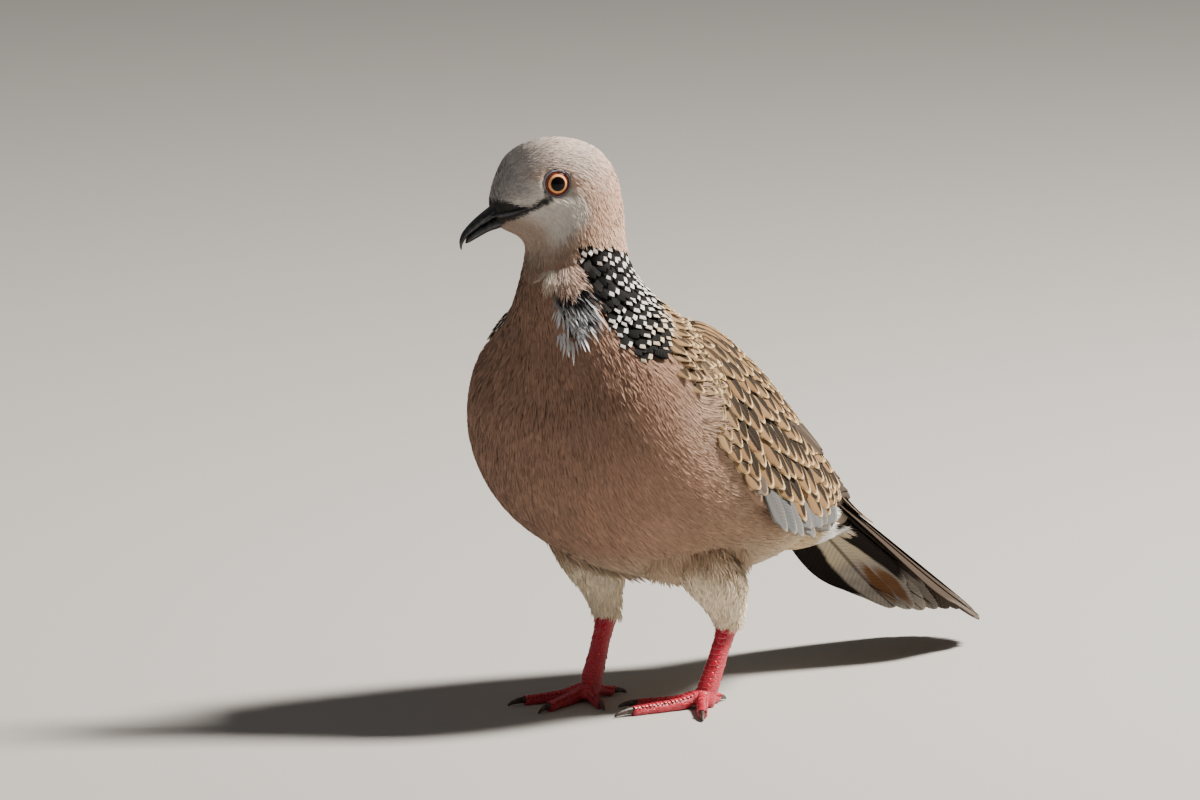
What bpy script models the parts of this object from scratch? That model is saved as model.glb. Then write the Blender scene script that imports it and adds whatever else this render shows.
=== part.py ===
"""Spotted dove (Spilopelia chinensis), a life-size standing model with its head turned to its right.

Metres, +Z up. The bird faces -Y, its own left is +X, and the undersides of its toes lie at Z = 0.
The shapes are worked out in millimetres: `ahead` is the distance towards -Y, `left` towards +X.
"""

import math

import bmesh
import bpy
import numpy as np
from mathutils import Vector

MM = 0.001
GAP = 0.3
CUT_CLEARANCE = 0.34
UP, AHEAD = (0.0, 0.0, 1.0), (0.0, -1.0, 0.0)

# The body, from the rump to the face. Each station is a closed section between a point on the
# back and a point on the front or belly: (ahead, up) of both, half width, and how far the section
# is turned towards the bird's right about the neck's pivot, in degrees.
STATIONS = {
    "rump": (-63.0, 66.0, -46.0, 36.6, 19.0, 0),
    "hips": (-47.0, 79.0, -33.0, 34.6, 26.0, 0),
    "loin": (-28.0, 92.4, -13.0, 33.8, 31.0, 0),
    "back": (-10.0, 103.0, 8.0, 36.8, 34.5, 0),
    "flank": (2.0, 109.0, 26.0, 43.8, 36.0, 0),
    "shoulder": (11.0, 113.4, 40.0, 52.6, 36.0, 0),
    "breast": (16.3, 117.0, 49.6, 65.2, 34.5, 0),
    "breast_top": (19.0, 120.5, 53.6, 80.0, 30.6, 1),
    "crop": (20.4, 124.0, 52.2, 94.6, 24.0, 4),
    "neck_root": (21.1, 128.0, 50.6, 106.0, 18.8, 9),
    "neck": (21.2, 132.5, 50.0, 115.0, 16.0, 18),
    "throat": (21.2, 137.4, 49.3, 121.5, 14.1, 28),
    "nape": (21.4, 142.3, 48.6, 126.4, 13.0, 34),
    "hindhead": (22.5, 148.3, 48.1, 129.7, 12.2, 38),
    "occiput": (24.5, 153.4, 48.4, 131.8, 11.8, 38),
    "hind_crown": (28.5, 158.0, 49.5, 133.6, 11.5, 38),
    "ear": (33.9, 160.4, 51.0, 134.8, 11.2, 38),
    "crown": (40.8, 161.4, 52.6, 135.6, 10.7, 38),
    "brow": (47.7, 160.3, 54.0, 136.2, 9.6, 38),
    "forehead": (53.3, 157.0, 55.2, 136.9, 8.1, 38),
    "lore": (56.3, 151.6, 56.2, 137.7, 6.6, 38),
    "bill_base": (57.7, 146.8, 57.0, 138.7, 5.2, 38),
    "face": (58.1, 143.6, 57.5, 139.7, 3.9, 38),
}
STATION_NAMES = list(STATIONS)
NECK_PIVOT_AHEAD = 36.0
HEAD_TURN = 38.0
ROUNDNESS_TRUNK = 2.3
ROUNDNESS_HEAD = 2.05

# The bill, in the head's own upright plane: culmen (ahead, up), tomium or lower edge, half width.
UPPER_BILL = (
    (55.8, 144.6, 54.4, 141.4, 3.9),
    (58.1, 143.0, 56.7, 140.1, 3.4),
    (61.1, 140.8, 59.7, 138.4, 2.8),
    (64.0, 138.3, 62.8, 136.4, 2.3),
    (66.1, 135.9, 64.9, 134.8, 1.8),
    (67.0, 133.8, 65.8, 133.5, 1.2),
    (67.0, 132.1, 66.3, 132.3, 0.7),
    (66.7, 131.1, 66.4, 131.2, 0.35),
)
LOWER_BILL = (
    (54.0, 140.9, 53.3, 138.1, 3.7),
    (56.6, 139.5, 55.8, 137.0, 3.3),
    (59.6, 137.8, 59.0, 136.1, 2.7),
    (62.7, 135.9, 62.1, 134.5, 2.1),
    (64.6, 134.2, 64.3, 133.2, 1.4),
    (65.4, 133.1, 65.3, 132.8, 0.6),
)

EYE_AHEAD, EYE_UP, EYE_ASIDE = 41.9, 149.8, 6.1
EYE_RADIUS = 4.8
ORBIT_ASIDE, ORBIT_RADIUS = 13.2, 4.7

# The folded wing, from its bend to its tip: ahead, then (left, up) of its upper edge on the back,
# (left, up) of its lower edge on the flank, and its thickness.
WING = (
    (22.0, 30.5, 103.6, 36.6, 88.0, 1.4),
    (17.0, 25.0, 108.4, 37.4, 76.0, 3.0),
    (7.0, 18.5, 110.8, 37.4, 61.0, 4.6),
    (-6.0, 13.0, 106.0, 36.4, 51.5, 5.0),
    (-22.0, 9.0, 97.6, 33.2, 48.4, 4.6),
    (-38.0, 6.0, 86.8, 28.0, 47.8, 4.0),
    (-54.0, 3.5, 74.2, 21.8, 47.8, 3.2),
    (-68.0, 1.8, 63.2, 14.8, 49.0, 2.2),
    (-79.0, 1.4, 54.2, 9.8, 48.6, 1.5),
    (-86.0, 1.6, 48.6, 5.5, 46.4, 1.0),
)
WING_ROUNDNESS = 2.2
WING_EDGE = 0.8
WING_ROOM = 7.0
PRIMARIES_START = -58.0

# The tail, an arched plate: distance from its root, half width, thickness, and the rise of the
# upper coverts over its plane.
TAIL_ROOT_AHEAD, TAIL_ROOT_UP = -45.0, 70.0
TAIL_PITCH = 31.4
TAIL_ARCH = 0.0243
TAIL = (
    (18.7, 10.0, 5.0, 2.4),
    (28.0, 11.8, 3.8, 1.6),
    (46.0, 17.6, 2.4, 0.3),
    (68.0, 21.6, 1.7, 0.0),
    (86.0, 21.8, 1.4, 0.0),
    (99.0, 19.2, 1.2, 0.0),
    (109.0, 15.0, 1.0, 0.0),
    (115.0, 10.0, 0.9, 0.0),
    (118.5, 4.0, 0.8, 0.0),
)

# The undertail, below the tail: distance from the tail's root, depth under its plane, half width.
UNDERTAIL = (
    (18.7, 27.4, 18.6),
    (25.0, 24.0, 17.8),
    (32.0, 19.3, 16.3),
    (39.0, 13.8, 13.8),
    (45.0, 9.4, 10.5),
    (51.0, 6.6, 6.0),
)

# Each leg: the feathered tibia's centres (left, ahead, up) with radii across and along, then the
# ankle, the foot's centre, and how far each toe turns inwards.
LEGS = {
    "left": {
        "side": 1,
        "tibia": (
            (15.0, 5.0, 54.0, 5.0, 8.0),
            (16.4, 3.5, 47.0, 9.2, 12.5),
            (18.0, -1.0, 40.0, 8.6, 11.2),
            (19.3, -5.0, 34.0, 7.3, 8.6),
            (19.5, -7.9, 29.0, 5.2, 5.9),
            (19.5, -9.7, 25.2, 3.7, 4.0),
            (19.5, -10.2, 23.4, 3.1, 3.3),
        ),
        "ankle": (19.5, -10.4, 22.9),
        "foot": (17.0, -1.6),
        "toes": {"middle": 15, "inner": 48, "outer": -38, "hind": 170},
    },
    "right": {
        "side": -1,
        "tibia": (
            (-15.0, 10.0, 54.0, 5.0, 8.0),
            (-16.4, 7.5, 47.0, 9.2, 12.0),
            (-18.0, 3.4, 40.5, 8.4, 10.8),
            (-19.0, -0.2, 35.0, 7.1, 8.1),
            (-19.1, -2.6, 29.8, 4.8, 5.3),
            (-19.3, -4.6, 25.0, 3.4, 3.6),
            (-19.5, -5.4, 22.8, 2.9, 3.1),
        ),
        "ankle": (-19.5, -5.7, 22.2),
        "foot": (-17.0, 6.7),
        "toes": {"middle": 12, "inner": 50, "outer": -20, "hind": 168},
    },
}
TOE_LENGTH = {"middle": 24.5, "inner": 18.0, "outer": 20.5, "hind": 9.5}
CLAW_LENGTH = {"middle": 5.6, "inner": 5.0, "outer": 5.0, "hind": 4.6}
TOE_WIDTH, TOE_TIP_WIDTH = 1.95, 1.45
SOLE_CUT = 0.3
SHANK_ACROSS, SHANK_ALONG = 2.15, 2.6
FOOT_HEIGHT, STUB_RADIUS, STUB_SWELL = 6.4, 2.6, 0.6
CLAW_RADIUS, CLAW_TAPER, CLAW_FLATNESS = 1.05, 0.86, 0.85

COLOURS = {
    "plumage_pink": ((0.30, 0.17, 0.12), 0.9),
    "plumage_grey": ((0.42, 0.38, 0.35), 0.9),
    "plumage_neck": ((0.10, 0.08, 0.07), 0.9),
    "plumage_wing": ((0.34, 0.25, 0.17), 0.9),
    "plumage_flight": ((0.06, 0.05, 0.045), 0.8),
    "plumage_tail": ((0.14, 0.11, 0.09), 0.85),
    "plumage_cream": ((0.68, 0.60, 0.48), 0.9),
    "leg_skin": ((0.42, 0.05, 0.07), 0.5),
    "bill_horn": ((0.03, 0.03, 0.035), 0.35),
    "claw_horn": ((0.04, 0.035, 0.03), 0.35),
    "eye_ball": ((0.60, 0.22, 0.05), 0.05),
}


def clear_scene():
    """Remove whatever the scene holds."""
    for item in list(bpy.data.objects):
        bpy.data.objects.remove(item, do_unlink=True)


def material(name):
    """A Principled material with the named colour and roughness."""
    found = bpy.data.materials.get(name)
    if found:
        return found
    colour, roughness = COLOURS[name]
    made = bpy.data.materials.new(name)
    made.use_nodes = True
    shader = made.node_tree.nodes["Principled BSDF"]
    shader.inputs["Base Color"].default_value = (*colour, 1.0)
    shader.inputs["Roughness"].default_value = roughness
    shader.inputs["Metallic"].default_value = 0.0
    return made


def through(rows, place):
    """A Catmull-Rom curve through the rows, read at the row numbers in `place`."""
    rows = np.asarray(rows, float)
    place = np.clip(np.asarray(place, float), 0, len(rows) - 1)
    row = np.minimum(place.astype(int), len(rows) - 2)
    share = (place - row)[..., None]

    def at(step):
        return rows[np.clip(row + step, 0, len(rows) - 1)]

    before, first, second, after = at(-1), at(0), at(1), at(2)
    bend = 2 * before - 5 * first + 4 * second - after
    twist = 3 * first - before - 3 * second + after
    return first + 0.5 * share * (second - before + share * (bend + share * twist))


def by_first(rows, value):
    """The row number, with its fraction, where the rows' first column reaches the value."""
    rows = np.asarray(rows, float)
    order = np.argsort(rows[:, 0])
    return np.interp(value, rows[order, 0], np.arange(len(rows))[order])


def in_turned_plane(ahead, up, turn):
    """Points of the body's upright middle plane, turned by `turn` degrees about the neck's pivot."""
    angle = np.radians(turn)
    reach = ahead - NECK_PIVOT_AHEAD
    return np.stack(
        [-reach * np.sin(angle), -NECK_PIVOT_AHEAD - reach * np.cos(angle), up], axis=-1
    )


def oval(back, front, half_width, turn, angles, roundness):
    """A superellipse between a back point and a front point, as wide as given at its middle."""
    middle, half = (back + front) / 2, (back - front) / 2
    across = np.array([math.cos(math.radians(turn)), -math.sin(math.radians(turn)), 0.0])
    power = 2 / roundness
    rise = np.sign(np.cos(angles)) * np.abs(np.cos(angles)) ** power
    side = np.sign(np.sin(angles)) * np.abs(np.sin(angles)) ** power
    return middle + np.outer(rise, half) + np.outer(side, half_width * across)


def ring_angles(count):
    return np.arange(count) * (2 * math.pi / count)


def body_rings(start, end, count, segments):
    """Sections of the body between two station numbers."""
    table = np.array(list(STATIONS.values()), float)
    rings = []
    for place in np.linspace(start, end, count):
        ahead, up, low_ahead, low_up, width, turn = through(table, place)
        back = in_turned_plane(ahead, up, turn)
        front = in_turned_plane(low_ahead, low_up, turn)
        share = np.clip((place - 7) / 4, 0, 1)
        roundness = ROUNDNESS_TRUNK + (ROUNDNESS_HEAD - ROUNDNESS_TRUNK) * share
        rings.append(oval(back, front, width, turn, ring_angles(segments), roundness))
    return rings


def bill_rings(rows, count, segments):
    """Sections of one half of the bill, between its upper and its lower edge."""
    rings = []
    for place in np.linspace(0, len(rows) - 1, count):
        ahead, up, low_ahead, low_up, width = through(rows, place)
        back = in_turned_plane(ahead, up, HEAD_TURN)
        front = in_turned_plane(low_ahead, low_up, HEAD_TURN)
        rings.append(oval(back, front, width, HEAD_TURN, ring_angles(segments), 2.2))
    return rings


def wing_rings(places, steps, side, beyond=0.0):
    """Sections of a folded wing at distances ahead: its outer face, then its inner face back.

    `beyond` pushes the outer face out and the inner face in, which makes the room the wing needs.
    The outer face is a quarter of a superellipse from the upper edge to the lower edge. The
    thickness swells from the edges to the middle as the square root of a sine.
    """
    rings = []
    quarter = np.linspace(0, math.pi / 2, steps)
    power = 2 / WING_ROUNDNESS
    arc_out, arc_up = np.sin(quarter) ** power, np.cos(quarter) ** power
    for ahead in places:
        _, top, top_up, low, low_up, thick = through(WING, by_first(WING, ahead))
        out = np.stack([top + (low - top) * arc_out, low_up + (top_up - low_up) * arc_up], 1)
        along = np.gradient(out, axis=0)
        along /= np.linalg.norm(along, axis=1)[:, None]
        inwards = np.stack([along[:, 1], -along[:, 0]], 1)
        swell = np.sqrt(np.sin(np.linspace(0.06, 0.94, steps) * math.pi))
        depth = WING_EDGE + (max(thick, WING_EDGE) - WING_EDGE) * swell
        clearance = min(beyond, CUT_CLEARANCE)
        out[0] -= along[0] * clearance
        out[-1] += along[-1] * clearance
        inner = out + inwards * (depth[:, None] + clearance)
        edge = np.concatenate([out - inwards * beyond, inner[::-1]])
        ring = np.stack([side * edge[:, 0], np.full(len(edge), -ahead), edge[:, 1]], 1)
        rings.append(ring)
    return rings


def on_tail(reach, left, height):
    """Points at a distance along the tail, to its left, and over its arched plane."""
    pitch = math.radians(TAIL_PITCH)
    lift = height - TAIL_ARCH * left**2
    y = -TAIL_ROOT_AHEAD + reach * math.cos(pitch) + lift * math.sin(pitch)
    z = TAIL_ROOT_UP - reach * math.sin(pitch) + lift * math.cos(pitch)
    return np.stack([left, y, z], axis=-1)


def tail_rings(count, steps):
    """Sections of the tail's plate: over its upper face from right to left, then back below."""
    rings = []
    for place in np.linspace(0, len(TAIL) - 1, count):
        reach, half, thick, rise = through(TAIL, place)
        left = np.linspace(-half, half, steps)
        crown = 1 - (left / half) ** 2
        over = on_tail(reach, left, rise * crown)
        under = on_tail(reach, left, -thick * (0.45 + 0.55 * crown))
        rings.append(np.concatenate([over, under[::-1]]))
    return rings


def undertail_rings(count, steps):
    """Sections of the undertail: along the tail's underside, then back along a half oval."""
    rings = []
    for place in np.linspace(0, len(UNDERTAIL) - 1, count):
        reach, depth, half = through(UNDERTAIL, place)
        _, tail_half, thick, _ = through(TAIL, by_first(TAIL, reach))
        left = half * np.cos(np.linspace(math.pi, 0, steps))
        crown = np.clip(1 - (left / tail_half) ** 2, 0, 1)
        ceiling = -thick * (0.45 + 0.55 * crown) - 2.2 * GAP
        floor = ceiling - 0.4 - (depth - thick) * np.sqrt(np.clip(1 - (left / half) ** 2, 0, 1))
        over = on_tail(np.full(steps, reach), left, ceiling)
        under = on_tail(np.full(steps, reach), left, floor)
        rings.append(np.concatenate([over, under[::-1]]))
    return rings


def tube_rings(centres, across, along, segments, reference):
    """Round sections square to a path; `across` is the radius at right angles to the reference."""
    run = np.gradient(centres, axis=0)
    run /= np.linalg.norm(run, axis=1)[:, None]
    side = np.cross(run, reference)
    side /= np.linalg.norm(side, axis=1)[:, None]
    fore = np.cross(side, run)
    angles = ring_angles(segments)[None, :, None]
    wide = np.cos(angles) * (side * np.reshape(across, (-1, 1)))[:, None]
    deep = np.sin(angles) * (fore * np.reshape(along, (-1, 1)))[:, None]
    return centres[:, None] + wide + deep


def tibia_rings(leg, count, segments):
    """Level oval sections of the feathered leg, from inside the belly down to the ankle."""
    last = len(leg["tibia"]) - 1
    rows = np.array([through(leg["tibia"], place) for place in np.linspace(0, last, count)])
    angles = ring_angles(segments)
    left = rows[:, 0, None] + rows[:, 3, None] * np.cos(angles)
    behind = -rows[:, 1, None] + rows[:, 4, None] * np.sin(angles)
    return np.stack([left, behind, np.broadcast_to(rows[:, 2, None], left.shape)], axis=-1)


def shank_line(leg):
    """The ankle and the top of the foot, as points in millimetres."""
    left, ahead, up = leg["ankle"]
    foot_left, foot_ahead = leg["foot"]
    ankle = np.array([left, -ahead, up])
    foot = np.array([foot_left, -foot_ahead, 0.0])
    return ankle, foot + (ankle - foot) * (FOOT_HEIGHT / up)


def shank_rings(leg, count, segments):
    """Sections of the bare shank: the ankle's knuckle, the slender shaft, and a wider lower end."""
    ankle, top = shank_line(leg)
    share = np.linspace(0.0, 1.0, count)
    centres = ankle + share[:, None] * (top - ankle)
    knuckle = 0.75 * np.exp(-((share / 0.16) ** 2))
    lower_end = 0.45 * share**4
    return tube_rings(
        centres,
        SHANK_ACROSS + knuckle + lower_end,
        SHANK_ALONG + 0.5 * knuckle + lower_end,
        segments,
        AHEAD,
    )


def toe_path(leg, toe, reaches):
    """Level positions at distances along a toe from the foot's centre."""
    angle = math.radians(leg["toes"][toe])
    left, ahead = leg["foot"]
    inwards = -leg["side"] * math.sin(angle)
    return np.stack([left + reaches * inwards, -ahead - reaches * math.cos(angle)], axis=1)


def toe_rings(leg, toe, count, segments):
    """Sections of a toe: it tapers, swells at its pads and sinks to the ground by a smooth step."""
    length = TOE_LENGTH[toe]
    reaches = np.linspace(0.0, length, count)
    share = reaches / length
    radius = TOE_WIDTH + (TOE_TIP_WIDTH - TOE_WIDTH) * share
    drop = np.exp(-((reaches / 5.0) ** 2))
    centres = np.column_stack([toe_path(leg, toe, reaches), radius - SOLE_CUT + 1.6 * drop])
    return tube_rings(centres, radius, radius, segments, UP)


def claw_rings(leg, toe, count, segments):
    """Sections of a claw: a cone bent down from the toe's tip along a quarter of an ellipse."""
    length = CLAW_LENGTH[toe]
    start = TOE_LENGTH[toe] + GAP
    arc = np.linspace(0.0, 0.92 * math.pi / 2, count)
    reaches = start + length * np.sin(arc)
    radius = CLAW_RADIUS * (1 - CLAW_TAPER * np.linspace(0, 1, count))
    low = 0.12 + radius[-1]
    height = low + (TOE_TIP_WIDTH + 0.1 - low) * np.cos(arc) ** 1.2
    centres = np.column_stack([toe_path(leg, toe, reaches), height])
    return tube_rings(centres, radius * CLAW_FLATNESS, radius, segments, UP)


def mesh_object(name, bm, slot):
    """Turn a bmesh, in metres, into a smooth-shaded object with its material."""
    bmesh.ops.recalc_face_normals(bm, faces=bm.faces)
    mesh = bpy.data.meshes.new(name)
    bm.to_mesh(mesh)
    bm.free()
    mesh.shade_smooth()
    mesh.set_sharp_from_angle(angle=math.radians(50))
    mesh.materials.append(material(slot))
    made = bpy.data.objects.new(name, mesh)
    bpy.context.collection.objects.link(made)
    return made


def loft(name, rings, slot):
    """A closed body: one circle of points for each section, bridged to the next, with filled ends."""
    bm = bmesh.new()
    loops = []
    for ring in rings:
        verts = bmesh.ops.create_circle(bm, segments=len(ring), radius=1.0)["verts"]
        for vert, point in zip(verts, ring):
            vert.co = Vector(point * MM)
        loops.append([bm.edges.get((a, b)) for a, b in zip(verts, verts[1:] + verts[:1])])
    for first, second in zip(loops, loops[1:]):
        bmesh.ops.bridge_loops(bm, edges=first + second)
    bmesh.ops.holes_fill(bm, edges=loops[0] + loops[-1], sides=0)
    return mesh_object(name, bm, slot)


def ball(name, centre, radius, slot, segments=12, rings=9):
    """A closed sphere about a centre in millimetres."""
    bm = bmesh.new()
    bmesh.ops.create_uvsphere(bm, u_segments=segments, v_segments=rings, radius=radius * MM)
    bmesh.ops.translate(bm, vec=Vector(centre) * MM, verts=bm.verts)
    return mesh_object(name, bm, slot)


def hide(cutter):
    cutter.hide_render = True
    cutter.display_type = "WIRE"
    return cutter


def grown_copy(source, name):
    """A hidden copy of a body, larger all round by the clearance, to cut room for it."""
    copy = bpy.data.objects.new(name, source.data.copy())
    bpy.context.collection.objects.link(copy)
    grow = copy.modifiers.new("clearance", "DISPLACE")
    grow.strength = CUT_CLEARANCE * MM
    grow.mid_level = 0.0
    return hide(copy)


def boolean(target, tool, operation):
    step = target.modifiers.new(f"{operation.lower()}_{tool.name}", "BOOLEAN")
    step.operation = operation
    step.solver = "EXACT"
    step.object = tool


def station(name):
    return STATION_NAMES.index(name)


def make_body():
    """Trunk, neck and head, cut from one run of sections with thin gaps between them."""
    crop, nape, face = station("crop"), station("nape"), station("face")
    neck_gap, head_gap = 0.035, 0.1
    trunk = loft("trunk", body_rings(0, crop, 16, 32), "plumage_pink")
    neck = loft("neck", body_rings(crop + neck_gap, nape - head_gap, 7, 28), "plumage_neck")
    head = loft("head", body_rings(nape, face, 16, 28), "plumage_grey")
    return trunk, neck, head


def make_head_details(head):
    """Both halves of the bill, and both eyes in a shallow dish, each in room cut from the head."""
    for name, rows, count in (("upper_bill", UPPER_BILL, 11), ("lower_bill", LOWER_BILL, 8)):
        half = loft(name, bill_rings(rows, count, 12), "bill_horn")
        boolean(head, grown_copy(half, f"room_{name}"), "DIFFERENCE")
    middle = in_turned_plane(np.array(EYE_AHEAD), np.array(EYE_UP), HEAD_TURN)
    turn = math.radians(HEAD_TURN)
    aside = np.array([math.cos(turn), -math.sin(turn), 0.0])
    for name, side in (("left", 1), ("right", -1)):
        centre = middle + side * EYE_ASIDE * aside
        ball(f"eye_{name}", centre, EYE_RADIUS, "eye_ball")
        room = ball(f"room_eye_{name}", centre, EYE_RADIUS + CUT_CLEARANCE, "eye_ball")
        boolean(head, hide(room), "DIFFERENCE")
        dish = ball(f"orbit_{name}", middle + side * ORBIT_ASIDE * aside, ORBIT_RADIUS, "eye_ball")
        boolean(head, hide(dish), "DIFFERENCE")


def make_wings(neighbours):
    """Each folded wing in two lengths, the covered part and the long flight feathers.

    The neighbours are cut back to the wing's inner face, with nothing of them left outside it.
    """
    bend, tip, steps = WING[0][0], WING[-1][0], 8
    covered = np.linspace(bend, PRIMARIES_START, 13)
    bare = np.linspace(PRIMARIES_START - GAP, tip, 6)
    room = np.concatenate([[bend + GAP], covered, bare, [tip - GAP]])
    for name, side in (("left", 1), ("right", -1)):
        loft(f"wing_{name}", wing_rings(covered, steps, side), "plumage_wing")
        loft(f"flight_feathers_{name}", wing_rings(bare, steps, side), "plumage_flight")
        space = wing_rings(room, steps, side, beyond=WING_ROOM)
        cutter = hide(loft(f"room_wing_{name}", space, "plumage_wing"))
        for neighbour in neighbours:
            boolean(neighbour, cutter, "DIFFERENCE")


def make_tail():
    tail = loft("tail", tail_rings(13, 9), "plumage_tail")
    undertail = loft("undertail", undertail_rings(7, 9), "plumage_cream")
    return tail, undertail


def stub_rings(leg, count, segments):
    """Sections of the short pillar on which the toes meet, swelling to the pad under it."""
    ankle, top = shank_line(leg)
    foot_left, foot_ahead = leg["foot"]
    sole = np.array([foot_left, -foot_ahead, -SOLE_CUT])
    stub_top = top + (top - ankle) * (GAP / np.linalg.norm(ankle - top))
    share = np.linspace(0.0, 1.0, count)
    swelling = np.sin(np.pi * np.minimum(share + 0.25, 1.0))
    width = STUB_RADIUS + STUB_SWELL * swelling
    return tube_rings(sole + share[:, None] * (stub_top - sole), width, width, segments, AHEAD)


def make_leg(name, leg, trunk):
    """Feathered tibia, bare shank, a foot of four joined toes, and four claws."""
    tibia = loft(f"thigh_{name}", tibia_rings(leg, 9, 16), "plumage_cream")
    boolean(trunk, grown_copy(tibia, f"room_thigh_{name}"), "DIFFERENCE")
    shank = loft(f"shank_{name}", shank_rings(leg, 8, 10), "leg_skin")
    boolean(tibia, grown_copy(shank, f"room_shank_{name}"), "DIFFERENCE")
    foot = loft(f"foot_{name}", stub_rings(leg, 6, 10), "leg_skin")
    for toe in leg["toes"]:
        piece = loft(f"toe_{name}_{toe}", toe_rings(leg, toe, 8, 8), "leg_skin")
        boolean(foot, hide(piece), "UNION")
        loft(f"claw_{name}_{toe}", claw_rings(leg, toe, 5, 6), "claw_horn")
    boolean(foot, bpy.data.objects["ground"], "DIFFERENCE")


def make_ground():
    """A hidden block under Z = 0 that gives the toes their flat undersides."""
    bm = bmesh.new()
    bmesh.ops.create_cube(bm, size=0.2)
    bmesh.ops.translate(bm, vec=(0.0, 0.0, -0.1), verts=bm.verts)
    hide(mesh_object("ground", bm, "leg_skin"))


def centre_on_origin():
    """Move everything level so that the origin lies under the middle of the bounding box."""
    bpy.context.view_layer.update()
    graph = bpy.context.evaluated_depsgraph_get()
    corners = [
        evaluated.matrix_world @ Vector(corner)
        for evaluated in (item.evaluated_get(graph) for item in bpy.data.objects)
        if not evaluated.hide_render
        for corner in evaluated.bound_box
    ]
    low = np.min([tuple(corner) for corner in corners], axis=0)
    high = np.max([tuple(corner) for corner in corners], axis=0)
    dove = bpy.data.objects.new("spotted_dove", None)
    bpy.context.collection.objects.link(dove)
    for item in bpy.data.objects:
        if item is not dove:
            item.parent = dove
    dove.location = (-(low[0] + high[0]) / 2, -(low[1] + high[1]) / 2, 0.0)
    bpy.context.view_layer.update()


clear_scene()
make_ground()
trunk, neck, head = make_body()
make_head_details(head)
make_wings([trunk, *make_tail()])
for leg_name, leg_sizes in LEGS.items():
    make_leg(leg_name, leg_sizes, trunk)
centre_on_origin()
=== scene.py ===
"""A life-size spotted dove: its skin, plumage, bill, eyes and feet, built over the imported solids.

Shapes are worked out in millimetres in the bird's own axes, as in the part's source: the bird faces
-Y, its left is +X, and the undersides of its toes lie at Z = 0. `ahead` is a distance towards -Y.
"""

import math

import bpy
import numpy as np
from mathutils import Matrix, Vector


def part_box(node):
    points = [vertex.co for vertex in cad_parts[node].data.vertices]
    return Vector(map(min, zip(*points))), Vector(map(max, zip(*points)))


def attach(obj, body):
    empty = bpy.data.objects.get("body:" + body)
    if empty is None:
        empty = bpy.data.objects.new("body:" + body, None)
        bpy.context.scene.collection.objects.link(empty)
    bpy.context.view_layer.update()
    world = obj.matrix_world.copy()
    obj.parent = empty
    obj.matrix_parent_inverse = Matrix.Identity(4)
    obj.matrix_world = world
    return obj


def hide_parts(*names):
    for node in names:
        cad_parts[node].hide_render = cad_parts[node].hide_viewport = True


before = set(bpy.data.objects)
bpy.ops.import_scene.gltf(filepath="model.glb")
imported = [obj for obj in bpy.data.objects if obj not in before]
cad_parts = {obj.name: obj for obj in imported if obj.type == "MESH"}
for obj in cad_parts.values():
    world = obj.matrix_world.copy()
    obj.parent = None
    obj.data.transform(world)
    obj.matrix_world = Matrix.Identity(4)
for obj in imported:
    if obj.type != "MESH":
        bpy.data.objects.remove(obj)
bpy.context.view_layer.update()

MM = 0.001
SIDES = {"left": 1, "right": -1}
UP, AHEAD = (0, 0, 1), (0, -1, 0)

# The outline of the body's coat, from the rump to the face. Each station is a closed section
# between a point on the back and one on the front or belly: (ahead, up) of both, half width, and
# its turn towards the bird's right about the neck's pivot, in degrees.
STATIONS = {
    "rump": (-63.0, 66.0, -46.0, 36.6, 19.0, 0),
    "hips": (-47.0, 79.0, -33.0, 34.6, 26.0, 0),
    "loin": (-28.0, 92.4, -13.0, 33.8, 31.0, 0),
    "back": (-10.0, 103.0, 8.0, 36.8, 34.5, 0),
    "flank": (2.0, 109.0, 26.0, 43.8, 36.0, 0),
    "shoulder": (11.0, 113.4, 40.0, 52.6, 36.0, 0),
    "breast": (16.3, 117.0, 49.6, 65.2, 34.5, 0),
    "breast_top": (19.0, 120.5, 53.6, 80.0, 30.6, 1),
    "crop": (20.4, 124.0, 52.2, 94.6, 24.0, 4),
    "neck_root": (21.1, 128.0, 50.6, 106.0, 18.8, 9),
    "neck": (21.2, 132.5, 50.0, 115.0, 16.0, 18),
    "throat": (21.2, 137.4, 49.3, 121.5, 14.1, 28),
    "nape": (21.4, 142.3, 48.6, 126.4, 13.0, 34),
    "hindhead": (22.5, 148.3, 48.1, 129.7, 12.2, 38),
    "occiput": (24.5, 153.4, 48.4, 131.8, 11.8, 38),
    "hind_crown": (28.5, 158.0, 49.5, 133.6, 11.5, 38),
    "ear": (33.9, 160.4, 51.0, 134.8, 11.2, 38),
    "crown": (40.8, 161.4, 52.6, 135.6, 10.7, 38),
    "brow": (47.7, 160.3, 54.0, 136.2, 9.6, 38),
    "forehead": (53.3, 157.0, 55.2, 136.9, 8.1, 38),
    "lore": (56.3, 151.6, 56.2, 137.7, 6.6, 38),
    "bill_base": (57.7, 146.8, 57.0, 138.7, 5.2, 38),
    "face": (58.1, 143.6, 57.5, 139.7, 3.9, 38),
}
BODY = np.array(list(STATIONS.values()), float)
NECK_PIVOT_AHEAD = 36.0
HEAD_TURN = 38.0
# The sections grow rounder from the first of these stations to the second.
BREAST_TOP, THROAT = 7, 11
ROUNDNESS_TRUNK, ROUNDNESS_HEAD = 2.3, 2.05

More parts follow.
